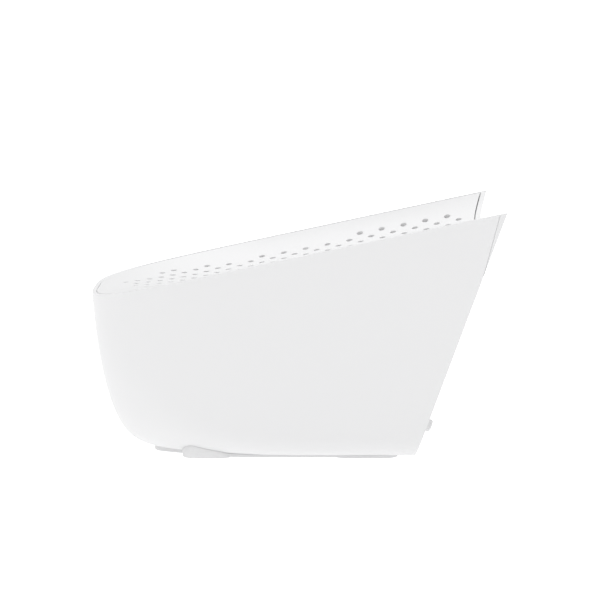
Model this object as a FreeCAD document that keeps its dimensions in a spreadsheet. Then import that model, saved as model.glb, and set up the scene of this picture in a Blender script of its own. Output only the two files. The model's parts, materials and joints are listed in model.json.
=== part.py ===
import FreeCAD, Part, Sketcher

# Desktop wireless router: a wedge-shaped casing with a round nose, a trough-shaped vented top,
# a rear panel that leans back over its port bay, and a board with four antennas inside.
#
# Frame: millimetres, +Z up, origin on the table below the middle of the bounding box.
# The nose looks towards -Y, the ports look towards +Y, and +X is the right-hand side
# of someone who looks from the nose towards the ports.

import math
import os
import re

from FreeCAD import Placement, Rotation, Vector

SIZES = [
    # casing form
    ("total_length", 184.6),
    ("total_width", 122.0),
    ("total_height", 110.5),
    ("rim_slope", 0.2127),
    ("rear_lean", 0.3625),
    ("plan_nose_length", 120.0),
    ("plan_side_power", 3.594),
    ("plan_nose_power", 5.842),
    ("plan_taper", 0.0117),
    ("side_draft", 0.03),
    ("front_draft", 0.066),
    ("side_round", 9.0),
    ("front_round", 68.6),
    ("front_round_power", 0.417),
    ("keel_setback", 38.3),
    ("keel_nose_length", 69.7),
    ("keel_power", 2.6),
    ("hull_bottom", 1.8),
    ("wall", 2.0),
    ("seam_gap", 0.2),
    ("band_gap", 0.12),
    ("panel_gap", 0.2),
    # vented top
    ("cover_thickness", 1.8),
    ("cover_drop", 0.2),
    ("trough_depth", 7.5),
    ("trough_deepening", 0.024),
    ("trough_run_in", 33.0),
    ("trough_power", 5.8),
    ("trough_ramp_start", 25.0),
    ("trough_ramp_length", 65.0),
    ("trough_nose_room", 8.0),
    ("vent_diameter", 2.8),
    ("vent_pitch", 5.2),
    ("vent_field_start", 9.0),
    ("vent_field_length", 150.0),
    ("vent_front_slope", 1.45),
    ("vent_side_margin", 10.7),
    ("vent_rear_margin", 19.6),
    # rear panel and port bay
    ("panel_thickness", 2.2),
    ("band_width", 2.9),
    ("band_height", 28.0),
    ("bay_step", 0.4),
    ("bay_floor", 6.2),
    ("bay_height", 17.8),
    ("bay_end_room", 0.4),
    ("bay_wall", 2.0),
    ("port_clearance", 0.25),
    # sockets
    ("jack_width", 15.9),
    ("jack_height", 13.4),
    ("jack_length", 21.3),
    ("jack_gap", 0.9),
    ("jack_row_x", 1.4),
    ("jack_mouth_width", 11.8),
    ("jack_mouth_height", 8.2),
    ("jack_mouth_depth", 14.5),
    ("jack_latch_width", 6.2),
    ("jack_latch_height", 1.6),
    ("jack_mouth_sill", 3.2),
    ("jack_shield_sheet", 0.3),
    ("jack_recess", 0.2),
    ("contact_pitch", 1.02),
    ("contact_thickness", 0.35),
    ("contact_length", 10.0),
    ("contact_drop", 1.2),
    ("inlet_gap", 2.35),
    ("inlet_width", 9.0),
    ("inlet_height", 11.0),
    ("inlet_length", 14.2),
    ("inlet_bore", 5.6),
    ("inlet_depth", 10.0),
    ("inlet_pin", 2.0),
    ("inlet_axis_height", 6.2),
    # buttons
    ("button_height", 15.5),
    ("button_side_margin", 11.6),
    ("pair_button_diameter", 5.6),
    ("pair_button_proud", 2.6),
    ("pair_travel", 0.9),
    ("power_button_diameter", 5.6),
    ("power_button_proud", 2.8),
    ("power_travel", 2.2),
    ("button_clearance", 0.3),
    ("button_flange", 0.8),
    ("flange_thickness", 1.0),
    ("flange_gap", 0.2),
    ("crown_round", 0.8),
    ("switch_size", 6.2),
    ("switch_depth", 3.6),
    ("power_switch_size", 7.4),
    ("power_switch_depth", 9.0),
    ("actuator_clearance", 0.1),
    ("pair_actuator", 3.4),
    ("power_actuator", 4.0),
    ("daughter_thickness", 1.0),
    ("daughter_length", 13.0),
    ("daughter_width", 8.0),
    ("daughter_post_reach", 5.2),
    ("daughter_post", 2.2),
    ("press_room", 0.4),
    ("actuator_entry", 0.9),
    ("reset_x", 39.2),
    ("reset_hole", 1.6),
    ("reset_plunger_diameter", 1.9),
    ("reset_reach", 1.6),
    ("reset_axis", 2.2),
    ("reset_size", 6.0),
    ("reset_height", 4.4),
    ("reset_travel", 0.3),
    # board and what it carries
    ("board_underside", 6.2),
    ("board_thickness", 1.6),
    ("board_front", -31.0),
    ("board_side_room", 15.5),
    ("board_rear_gap", 0.6),
    ("standoff_diameter", 5.0),
    ("standoff_x", 34.0),
    ("standoff_front", -25.0),
    ("standoff_rear", 14.0),
    ("standoff_sink", 0.2),
    ("boss_notch", 3.0),
    ("screw_hole", 2.1),
    ("screw_clearance", 0.2),
    ("screw_shank", 2.0),
    ("screw_head", 4.2),
    ("screw_head_height", 1.4),
    ("board_screw_length", 4.5),
    ("processor_size", 15.0),
    ("processor_ahead", 4.0),
    ("core_y", -8.0),
    ("chip_height", 1.2),
    ("memory_length", 13.0),
    ("memory_width", 8.0),
    ("memory_gap", 1.6),
    ("memory_behind", 11.0),
    ("flash_length", 8.0),
    ("flash_width", 6.0),
    ("flash_ahead", 15.0),
    ("port_chip_size", 8.0),
    ("port_chip_behind", 23.6),
    ("radio_size", 9.0),
    ("radio_x", 31.0),
    ("core_shield_width", 32.0),
    ("core_shield_length", 38.0),
    ("shield_width", 18.0),
    ("shield_length", 26.0),
    ("shield_height", 2.6),
    ("shield_sheet", 0.25),
    ("pad_thickness", 1.0),
    ("pad_size", 24.0),
    ("pad_ahead", 2.0),
    ("sink_width", 34.0),
    ("sink_length", 36.0),
    ("sink_base", 2.4),
    ("sink_height", 15.0),
    ("sink_fins", 9.0),
    ("fin_thickness", 1.3),
    ("ear_width", 7.0),
    ("sink_screw_x", 19.7),
    ("sink_screw_tail", 1.5),
    ("transformer_width", 12.8),
    ("transformer_length", 9.6),
    ("transformer_height", 5.6),
    ("transformer_gap", 1.5),
    ("capacitor_diameter", 6.3),
    ("capacitor_height", 7.7),
    ("capacitor_pitch", 7.2),
    ("capacitor_from_inlet", 3.3),
    ("capacitor_gap", 4.0),
    ("inductor_size", 6.0),
    ("inductor_height", 3.2),
    ("inductor_x", 41.0),
    ("inductor_y", 13.0),
    ("inductor_pitch", 8.5),
    ("crystal_length", 5.0),
    ("crystal_width", 3.2),
    ("crystal_height", 1.0),
    ("crystal_x", 20.0),
    ("crystal_ahead", 16.5),
    # status light
    ("light_height", 11.0),
    ("light_diameter", 3.0),
    ("light_clearance", 0.15),
    ("led_length", 2.6),
    ("led_gap", 0.4),
    ("led_width", 3.0),
    ("led_height", 4.6),
    # antennas
    ("antenna_length", 42.0),
    ("antenna_width", 10.0),
    ("antenna_sheet", 0.8),
    ("antenna_room", 2.4),
    ("antenna_fit", 0.1),
    ("rail_depth", 1.4),
    ("rail_width", 5.0),
    ("rail_foot", 1.2),
    ("lead_diameter", 1.13),
    ("lead_rise", 12.0),
    ("solder_gap", 0.03),
    ("antenna_socket_diameter", 2.6),
    ("antenna_socket_height", 1.2),
    ("antenna_socket_inset", 2.9),
    # base and feet
    ("plate_bottom", 0.5),
    ("plate_front", -63.6),
    ("plate_front_margin", 29.0),
    ("plate_shoulder", -30.0),
    ("plate_side_margin", 12.2),
    ("plate_rear", 42.0),
    ("plate_corner", 9.0),
    ("plate_fit", 0.1),
    ("opening_margin", 8.0),
    ("opening_corner", 6.0),
    ("slot_width", 2.4),
    ("slot_length", 24.0),
    ("slot_pitch", 6.0),
    ("slot_count", 9.0),
    ("foot_width", 13.0),
    ("foot_outer_edge", 10.4),
    ("front_foot_length", 22.7),
    ("front_foot_y", -39.0),
    ("rear_foot_length", 29.0),
    ("rear_foot_y", 31.2),
    ("foot_bottom", 0.3),
    ("foot_block_top", 14.0),
    ("pad_inset", 1.6),
    ("pad_recess", 0.4),
    ("pad_fit", 0.15),
    ("boss_diameter", 6.0),
    ("boss_top", 13.0),
    ("case_screw_length", 10.0),
    ("case_head_height", 1.0),
    ("case_head_clearance", 0.05),
]

doc = FreeCAD.newDocument("router")
sheet = doc.addObject("Spreadsheet::Sheet", "sizes")
for row, (alias, number) in enumerate(SIZES, start=1):
    sheet.set(f"A{row}", alias)
    sheet.set(f"B{row}", str(number))
    sheet.setAlias(f"B{row}", alias)
doc.recompute()

ALIASES = {alias for alias, number in SIZES}
SIZE = {alias: float(sheet.get(alias)) for alias in ALIASES}
SUBPARTS = []

# The rear face passes through the rear top corners and leans back, so a point on it
# moves towards the nose as it gets lower. These texts give that in sheet terms.
REAR = "total_length / 2"
LEAN_ANGLE = "-atan(rear_lean)"
DRILL_ANGLE = "-90 deg - atan(rear_lean)"
BOARD_TOP = "(board_underside + board_thickness)"
BUTTON_X = "(total_width / 2 - button_side_margin)"
FOOT_X = "(total_width / 2 - foot_outer_edge - foot_width / 2)"


def rear_at(height):
    """The sheet text for the Y of the rear face at a height."""
    return f"({REAR} - (total_height - {height}) * rear_lean)"


def bind(thing, prop, text):
    """Ties a property to the sheet. The text names the sizes by their aliases."""
    words = re.sub(r"[a-z][a-z_0-9]*", lambda m: f"sizes.{m[0]}" if m[0] in ALIASES else m[0], text)
    thing.setExpression(prop, words)


def place(thing, x, y, z, angle=None, axis=Vector(1, 0, 0)):
    """Ties a thing's place to the sheet, turned about an axis by a bound angle."""
    if angle is not None:
        thing.Placement = Placement(Vector(), Rotation(axis, 10))
        bind(thing, "Placement.Rotation.Angle", angle)
    bind(thing, "Placement.Base.x", x)
    bind(thing, "Placement.Base.y", y)
    bind(thing, "Placement.Base.z", z)
    return thing


def block(name, length, width, height, x, y, z):
    """A box centred on x and y that stands on z."""
    thing = doc.addObject("Part::Box", name)
    bind(thing, "Length", length)
    bind(thing, "Width", width)
    bind(thing, "Height", height)
    return place(thing, f"{x} - ({length}) / 2", f"{y} - ({width}) / 2", z)


def rod(name, diameter, length, x, y, z, angle=None, axis=Vector(1, 0, 0)):
    """A cylinder from a point, along +Z or turned from it."""
    thing = doc.addObject("Part::Cylinder", name)
    bind(thing, "Radius", f"({diameter}) / 2")
    bind(thing, "Height", length)
    return place(thing, x, y, z, angle, axis)


def normal_rod(name, diameter, length, x, inwards, height="button_height"):
    """A cylinder square to the rear face: it starts the given depth behind the face."""
    across = f"{rear_at(height)} - ({inwards}) * cos(atan(rear_lean))"
    up = f"{height} + ({inwards}) * sin(atan(rear_lean))"
    return rod(name, diameter, length, x, across, up, DRILL_ANGLE)


def normal_block(name, length, depth, height, x, inwards):
    """A box square to the rear face, centred on a button's axis."""
    thing = doc.addObject("Part::Box", name)
    bind(thing, "Length", length)
    bind(thing, "Width", depth)
    bind(thing, "Height", height)
    lean = "atan(rear_lean)"
    across = f"{rear_at('button_height')} - ({inwards}) * cos({lean}) - ({height}) / 2 * sin({lean})"
    up = f"button_height + ({inwards}) * sin({lean}) - ({height}) / 2 * cos({lean})"
    return place(thing, f"{x} - ({length}) / 2", across, up, LEAN_ANGLE)


def fixed(name, shape):
    """A shape that only a formula gives, kept as a feature of the document."""
    thing = doc.addObject("Part::Feature", name)
    thing.Shape = shape
    return thing


def group(kind, name, members):
    """A fuse, a common or a compound of several things."""
    thing = doc.addObject(kind, name)
    setattr(thing, "Links" if kind == "Part::Compound" else "Shapes", list(members))
    return thing


def fuse(name, *members):
    return group("Part::MultiFuse", name, members)


def common(name, *members):
    return group("Part::MultiCommon", name, members)


def together(name, *members):
    return group("Part::Compound", name, members)


def cut(name, base, *tools):
    """The base without its tools, which are joined first when there are several."""
    thing = doc.addObject("Part::Cut", name)
    thing.Base = base
    thing.Tool = tools[0] if len(tools) == 1 else fuse(f"{name}_tools", *tools)
    return thing


def subpart(thing, node):
    """Marks a finished sub-part: its Label names its node and its file."""
    thing.Label = node
    SUBPARTS.append(thing)
    return thing


# ---------------------------------------------------------------- the casing's form


def rim_height(station):
    """The height of the sloping rim at a distance behind the nose."""
    return SIZE["total_height"] - SIZE["rim_slope"] * (SIZE["total_length"] - station)


def outline(start, nose, half_width, side_power, nose_power, taper, end):
    """Half of a plan outline, from the nose to the rear: a rounded nose, then a straight side."""
    points = []
    steps = 400
    for step in range(steps + 1):
        turn = step / steps * math.pi / 2
        station = start + nose * (1 - math.cos(turn) ** (2 / nose_power))
        points.append((half_width * math.sin(turn) ** (2 / side_power), station))
    points.append((half_width, end))
    narrowing = [(w - taper * (SIZE["total_length"] - s) * w / half_width, s) for w, s in points]
    return narrowing


def evenly(points, count):
    """Points at equal steps along a polyline."""
    lengths = [0.0]
    for (w0, s0), (w1, s1) in zip(points, points[1:]):
        lengths.append(lengths[-1] + math.hypot(w1 - w0, s1 - s0))
    spaced = []
    index = 0
    for step in range(count):
        wanted = lengths[-1] * step / (count - 1)
        while index < len(lengths) - 2 and lengths[index + 1] < wanted:
            index += 1
        share = (wanted - lengths[index]) / (lengths[index + 1] - lengths[index])
        (w0, s0), (w1, s1) = points[index], points[index + 1]
        spaced.append((w0 + share * (w1 - w0), s0 + share * (s1 - s0)))
    return spaced


HALF_COLUMNS = 44
WALL_ROWS = 7
ROUND_ROWS = 10
WALL_STEP = 11.0
ROUND_STEP = 6.0
OVERRUN = 14.0


def hull_rows():
    """The casing's outer form as rows of points, from above the rim down to the flat bottom."""
    half = SIZE["total_width"] / 2
    end = SIZE["total_length"] + OVERRUN
    bottom = SIZE["hull_bottom"]
    keel_half = half - SIZE["side_round"] - SIZE["side_draft"] * SIZE["total_height"] / 2
    rim = evenly(
        outline(0.0, SIZE["plan_nose_length"], half, SIZE["plan_side_power"],
                SIZE["plan_nose_power"], SIZE["plan_taper"], end),
        HALF_COLUMNS)
    keel = evenly(
        outline(SIZE["keel_setback"], SIZE["keel_nose_length"], keel_half, SIZE["keel_power"],
                SIZE["keel_power"], 0.0, end),
        HALF_COLUMNS)
    rows = []
    for row in range(WALL_ROWS + ROUND_ROWS):
        line = []
        for (width, station), (keel_width, keel_station) in zip(rim, keel):
            front = max(0.0, 1 - station / (0.9 * SIZE["plan_nose_length"])) ** 3
            top = rim_height(station)
            room = top - bottom
            radius = SIZE["side_round"] * (1 - front) + SIZE["front_round"] * front
            radius = min(radius, 0.985 * room)
            power = 1 - front + SIZE["front_round_power"] * front
            draft = SIZE["side_draft"] * (1 - front) + SIZE["front_draft"] * front
            back = draft * math.sqrt(front)
            lean_in = SIZE["side_draft"] * width / half
            if row < WALL_ROWS:
                share = row / WALL_ROWS
                height = (SIZE["total_height"] + OVERRUN) * (1 - share) + (bottom + radius) * share
                sunk = 0.0
            else:
                turn = (row - WALL_ROWS) / (ROUND_ROWS - 1) * math.pi / 2
                height = bottom + radius * (1 - math.sin(turn))
                sunk = 1 - max(0.0, math.cos(turn)) ** power
            fall = top - height
            at_width = width - lean_in * fall
            at_station = station + back * fall
            foot_width = width - lean_in * room
            foot_station = station + back * room
            line.append((at_width + sunk * (keel_width - foot_width),
                         at_station + sunk * (keel_station - foot_station),
                         height))
        left = [Vector(-w, s - SIZE["total_length"] / 2, z) for w, s, z in reversed(line[1:])]
        right = [Vector(w, s - SIZE["total_length"] / 2, z) for w, s, z in line]
        rows.append(left + right)
    return rows


def inset_rows(rows, inset):
    """The same rows moved inwards, square to the surface."""
    last_row = len(rows) - 1
    last_column = len(rows[0]) - 1
    moved = []
    for i, row in enumerate(rows):
        line = []
        for j, point in enumerate(row):
            along = row[min(j + 1, last_column)] - row[max(j - 1, 0)]
            down = rows[min(i + 1, last_row)][j] - rows[max(i - 1, 0)][j]
            inwards = along.cross(down)
            inwards.normalize()
            shifted = point + inwards * inset
            if j in (0, last_column):
                shifted.y = point.y
            if i == 0:
                shifted.z = point.z
            if i == last_row:
                shifted = Vector(shifted.x, shifted.y, point.z + inset)
            line.append(shifted)
        moved.append(line)
    return moved


def threaded(points, parameters):
    """A smooth curve through the points, each at its parameter."""
    curve = Part.BSplineCurve()
    curve.interpolate(Points=points, Parameters=parameters)
    return curve


def smooth_surface(rows, row_steps):
    """A smooth surface through rows of points, equally stepped along each row."""
    count = len(rows[0])
    across = [j / (count - 1) for j in range(count)]
    total = sum(row_steps)
    down = [sum(row_steps[:i]) / total for i in range(len(rows))]
    row_curves = [threaded(row, across) for row in rows]
    pole_count = row_curves[0].NbPoles
    columns = [threaded([curve.getPole(j + 1) for curve in row_curves], down) for j in range(pole_count)]
    poles = [[column.getPole(i + 1) for column in columns] for i in range(columns[0].NbPoles)]
    surface = Part.BSplineSurface()
    surface.buildFromPolesMultsKnots(
        poles,
        columns[0].getMultiplicities(), row_curves[0].getMultiplicities(),
        columns[0].getKnots(), row_curves[0].getKnots(),
        False, False, columns[0].Degree, row_curves[0].Degree)
    return surface


def border(skin, start, end):
    """The edge of a skin that runs between two of its corners."""
    for edge in skin.Edges:
        first, last = (vertex.Point for vertex in (edge.Vertexes[0], edge.Vertexes[-1]))
        near = min((first - start).Length + (last - end).Length, (first - end).Length + (last - start).Length)
        if near < 0.01:
            return edge
    raise ValueError("the skin has no such edge")


def hull_form(inset):
    """A closed solid of the casing's form, moved inwards by the inset."""
    rows = hull_rows()
    if inset:
        rows = inset_rows(rows, inset)
    steps = [WALL_STEP] * WALL_ROWS + [ROUND_STEP] * ROUND_ROWS
    skin = smooth_surface(rows, steps).toShape()
    corners = [rows[0][0], rows[0][-1], rows[-1][-1], rows[-1][0]]
    top_line = Part.LineSegment(corners[0], corners[1]).toShape()
    bottom_line = Part.LineSegment(corners[3], corners[2]).toShape()
    lid = Part.Face(Part.Wire([border(skin, corners[0], corners[1]), top_line]))
    floor = Part.Face(Part.Wire([border(skin, corners[3], corners[2]), bottom_line]))
    sides = [border(skin, corners[0], corners[3]), border(skin, corners[1], corners[2])]
    back = Part.Face(Part.Wire(Part.__sortEdges__([sides[0], top_line, sides[1], bottom_line])))
    shell = Part.Shell([skin, lid, floor, back])
    shell.sewShape()
    solid = Part.Solid(shell)
    if solid.Volume < 0:
        solid.reverse()
    return solid


# ---------------------------------------------------------------- the trough


def trough_height(x, y):
    """The height of the vented top's upper face: a trough that deepens and squares up rearwards."""
    station = y + SIZE["total_length"] / 2
    depth = SIZE["trough_depth"] + SIZE["trough_deepening"] * station
    depth *= 1 - math.exp(-(max(station, 0.0) / SIZE["trough_run_in"]) ** 2)
    ramp = min(1.0, max(0.0, (station - SIZE["trough_ramp_start"]) / SIZE["trough_ramp_length"]))
    power = 2 + (SIZE["trough_power"] - 2) * ramp * ramp * (3 - 2 * ramp)
    share = abs(x) / inner_half_width(max(station, SIZE["trough_nose_room"]))
    return rim_height(station) - depth * (1 - share ** power)


def inner_half_width(station):
    """Half the width between the casing's inner walls at the rim."""
    half = SIZE["total_width"] / 2
    share = min(1.0, station / SIZE["plan_nose_length"])
    width = half * (1 - (1 - share) ** SIZE["plan_nose_power"]) ** (1 / SIZE["plan_side_power"])
    width -= SIZE["plan_taper"] * (SIZE["total_length"] - station) * width / half
    return width - SIZE["wall"]


TROUGH_COLUMNS = 27
TROUGH_ROWS = 34


def trough_face(drop):
    """The trough's upper face, lowered by the drop."""
    reach = SIZE["total_width"] / 2 + 3
    start = -SIZE["total_length"] / 2 - 5
    end = SIZE["total_length"] / 2 + 6
    rows = []
    for i in range(TROUGH_ROWS):
        y = start + (end - start) * i / (TROUGH_ROWS - 1)
        row = []
        for j in range(TROUGH_COLUMNS):
            x = reach * (2 * j / (TROUGH_COLUMNS - 1) - 1)
            row.append(Vector(x, y, trough_height(x, y) - drop))
        rows.append(row)
    return smooth_surface(rows, [1.0] * TROUGH_ROWS).toShape()


VENT_NOSE_POWER = 1.9
VENT_SIDE_POWER = 3


def vent_places():
    """The centres of the vents: a staggered grid inside a field with a blunt round front."""
    pitch = SIZE["vent_pitch"]
    nose = -SIZE["total_length"] / 2
    half_field = SIZE["total_width"] / 2 - SIZE["vent_side_margin"]
    last = -nose - SIZE["vent_rear_margin"]
    places = []
    columns = int(half_field / pitch) + 1
    rows = int((last - nose) / pitch) + 1
    for column in range(-columns, columns):
        x = (column + 0.5) * pitch
        for row in range(-1, rows):
            y = last - row * pitch
            if (row + column) % 2:
                continue
            share = min(1.0, (y - nose) / SIZE["vent_field_length"])
            side = half_field * (1 - (1 - share) ** VENT_NOSE_POWER) ** (1 / VENT_SIDE_POWER)
            front = (y - nose - SIZE["vent_field_start"]) * SIZE["vent_front_slope"]
            if abs(x) < min(side, front):
                places.append((x, y))
    return places


def vent_drills():
    """Upright drills through the vented top."""
    radius = SIZE["vent_diameter"] / 2
    tall = SIZE["total_height"]
    return Part.makeCompound([Part.makeCylinder(radius, tall, Vector(x, y, 30)) for x, y in vent_places()])


# ---------------------------------------------------------------- shared cutters


def above_rim(name, drop):
    """A big block over a plane parallel to the rim."""
    thing = doc.addObject("Part::Box", name)
    bind(thing, "Length", "total_width * 2")
    bind(thing, "Width", "total_length * 3")
    bind(thing, "Height", "total_height")
    run = "total_length * 1.5"
    return place(thing, "-total_width", f"{REAR} - {run} * cos(atan(rim_slope))",
                 f"total_height - {drop} - {run} * sin(atan(rim_slope))", "atan(rim_slope)")


def behind_plane(name, lean, foot_y, foot_z):
    """A big block behind a leaning plane through a point of the middle."""
    thing = doc.addObject("Part::Box", name)
    bind(thing, "Length", "total_width * 2")
    bind(thing, "Width", "total_length")
    bind(thing, "Height", "total_height * 4")
    down = "total_height * 2"
    return place(thing, "-total_width", f"{foot_y} - {down} * sin({lean})",
                 f"{foot_z} - {down} * cos({lean})", f"-({lean})")


LEAN = "atan(rear_lean)"
BAND_BOTTOM_Y = rear_at("(total_height - band_height)")
BAND_LEAN = f"atan(({REAR} - band_width - {BAND_BOTTOM_Y}) / band_height)"

hull_outer = fixed("hull_outer", hull_form(0.0))
hull_inner = fixed("hull_inner", hull_form(SIZE["wall"]))
hull_for_cover = fixed("hull_for_cover", hull_form(SIZE["wall"] + SIZE["seam_gap"]))
hull_for_band = fixed("hull_for_band", hull_form(SIZE["wall"] + SIZE["band_gap"]))
hull_for_panel = fixed("hull_for_panel", hull_form(SIZE["wall"] + SIZE["panel_gap"]))
hull_for_plate = fixed("hull_for_plate", hull_form(-SIZE["plate_fit"]))
trough_sky = fixed("trough_sky", trough_face(0.0).extrude(Vector(0, 0, SIZE["total_height"])))
cover_rise = Vector(0, 0, SIZE["cover_thickness"])
cover_slab = fixed("cover_slab", trough_face(SIZE["cover_thickness"]).extrude(cover_rise))
vents = fixed("vents", vent_drills())

rim_block = above_rim("rim_block", "0")
cover_rim_block = above_rim("cover_rim_block", "cover_drop")
rear_block = behind_plane("rear_block", LEAN, REAR, "total_height")
panel_front_block = behind_plane(
    "panel_front_block", LEAN, f"({REAR} - panel_thickness / cos({LEAN}))", "total_height")
cover_rear_block = behind_plane(
    "cover_rear_block", LEAN, f"({REAR} - (panel_thickness + seam_gap) / cos({LEAN}))", "total_height")
band_block = behind_plane("band_block", BAND_LEAN, f"({REAR} - band_width)", "total_height")
shell_rear_block = behind_plane(
    "shell_rear_block", BAND_LEAN, f"({REAR} - band_width - band_gap)", "total_height")


# ---------------------------------------------------------------- casing


FEET = [
    ("front_left", "-1", "front_foot"), ("front_right", "1", "front_foot"),
    ("rear_left", "-1", "rear_foot"), ("rear_right", "1", "rear_foot"),
]


def rounded_prism(corners, radius, low, high):
    """An upright prism on a flat outline, with its upright edges rounded."""
    loop = [Vector(x, y, low) for x, y in corners]
    solid = Part.Face(Part.makePolygon(loop + loop[:1])).extrude(Vector(0, 0, high - low))
    upright = [e for e in solid.Edges if abs(e.Vertexes[0].Z - e.Vertexes[-1].Z) > 0.5 * (high - low)]
    return solid.makeFillet(radius, upright)


CORNER_SHARE = 0.7


def plate_outline(margin):
    """The base plate's outline, drawn in by a margin: narrow at the nose, full behind its shoulders."""
    front = SIZE["plate_front"] + margin
    rear = SIZE["plate_rear"] - margin
    half = SIZE["total_width"] / 2
    narrow = half - SIZE["plate_front_margin"] - margin * CORNER_SHARE
    wide = half - SIZE["plate_side_margin"] - margin
    shoulder = SIZE["plate_shoulder"]
    return [(-narrow, front), (narrow, front), (wide, shoulder), (wide, rear), (-wide, rear), (-wide, shoulder)]


def foot_prism(name, side, kind, margin, low, high):
    """An upright oblong with round ends that stands on a foot's place."""
    width = f"(foot_width - 2 * {margin})"
    length = f"({kind}_length - 2 * {margin})"
    body = block(f"{name}_body", width, f"{length} - {width}", f"({high}) - ({low})",
                 f"{side} * {FOOT_X}", f"{kind}_y", low)
    ends = [
        rod(f"{name}_end_{n}", width, f"({high}) - ({low})", f"{side} * {FOOT_X}",
            f"{kind}_y + {way} * ({length} - {width}) / 2", low)
        for n, way in enumerate(("-1", "1"))
    ]
    return fuse(name, body, *ends)


def antenna_places():
    """Side, Y, height and lean of each antenna on the casing's inner side walls."""
    return [("left_front", -1, -8.0, 34.0), ("right_front", 1, -8.0, 34.0),
            ("left_rear", -1, 38.0, 44.0), ("right_rear", 1, 38.0, 44.0)]


def wall_x(height):
    """The inner wall's distance from the middle, by the straight part of the side, at a height."""
    return f"(total_width / 2 - wall - side_draft * (total_height - {height}))"


def outer_shell():
    """The U-shaped wall and bottom, with channels for the antennas and a screw boss over each foot."""
    rails = []
    slots = []
    for name, side, y, z in antenna_places():
        near = f"({wall_x(z)} - antenna_room)"
        for end, way in (("low", "-1"), ("high", "1")):
            rails.append(block(f"rail_{name}_{end}", "antenna_room * 2 + wall", "rail_width",
                               "antenna_length", f"{side} * ({near} + antenna_room)",
                               f"{y} + {way} * antenna_width / 2", f"{z}"))
        slots.append(block(f"slot_{name}", "antenna_sheet + 2 * antenna_fit",
                           "antenna_width + 2 * antenna_fit", "antenna_length * 1.5",
                           f"{side} * ({near} + antenna_room / 2)", f"{y}", f"{z} + rail_foot"))
        slots.append(block(f"window_{name}", "antenna_room * 4",
                           "antenna_width - 2 * rail_depth", "antenna_length * 2",
                           f"{side} * ({near} - antenna_room * 1.2)", f"{y}", f"{z} - 1"))
    bosses = []
    drills = []
    for name, side, kind in FEET:
        bosses.append(rod(f"boss_{name}", "boss_diameter", "boss_top", f"{side} * {FOOT_X}", f"{kind}_y", "0"))
        drills.append(rod(f"boss_drill_{name}", "screw_hole", "boss_top + 1",
                          f"{side} * {FOOT_X}", f"{kind}_y", "-0.5"))
    opening = fixed("base_opening", rounded_prism(
        plate_outline(SIZE["opening_margin"]), SIZE["opening_corner"], 0.0, SIZE["board_underside"]))
    light_hole = rod("light_hole", "light_diameter + 2 * light_clearance", "total_length / 3",
                     "0", "-total_length / 6", "light_height", "90 deg")
    walls = cut("shell_walls", hull_outer, hull_inner)
    extras = common("shell_extras", hull_outer, together("shell_ribs", *rails, *bosses))
    whole = fuse("shell_whole", walls, extras)
    trims = together("shell_drills", opening, light_hole, *drills)
    channels = fuse("shell_channels", *slots)
    shaped = cut("shell_shaped", whole, trims)
    slotted = cut("shell_slotted", shaped, channels)
    ended = cut("shell_ended", slotted, rear_block)
    banded = cut("shell_banded", ended, shell_rear_block)
    subpart(cut("shell", banded, rim_block), "outer_shell")


def top_cover():
    """The vented trough between the side walls."""
    slab = common("cover_in_hull", cover_slab, hull_for_cover)
    low = cut("cover_low", slab, cover_rim_block)
    trimmed = cut("cover_trimmed", low, cover_rear_block)
    subpart(cut("cover", trimmed, vents), "top_cover")


BAY_FACE = f"({rear_at('bay_floor')} - bay_step)"
BAY_INNER = f"({BAY_FACE} - bay_wall)"
JACKS = [("lan_jack_3", 0), ("lan_jack_2", 1), ("lan_jack_1", 2), ("wan_jack", 3)]
BUTTON_DEPTH = "(panel_thickness + flange_gap + flange_thickness)"


def jack_x(place_number):
    """The sheet text for a socket's X: the row is stepped by a socket's width and a gap."""
    return f"(jack_row_x + ({(len(JACKS) - 1) / 2} - {place_number}) * (jack_width + jack_gap))"


INLET_X = f"({jack_x(len(JACKS) - 1)} - jack_width / 2 - inlet_gap - inlet_width / 2)"
BAY_HALF = f"(inlet_width / 2 + bay_end_room - {INLET_X})"


def switch_front(kind):
    """How deep behind the rear face a button's switch begins: room to press is left before it."""
    return f"({BUTTON_DEPTH} + {kind}_travel + press_room)"


def daughter_front(kind, depth):
    return f"({switch_front(kind)} + {depth})"


BUTTONS = [
    ("pair", "1", "switch_size", "switch_depth", "pair_actuator"),
    ("power", "-1", "power_switch_size", "power_switch_depth", "power_actuator"),
]


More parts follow.
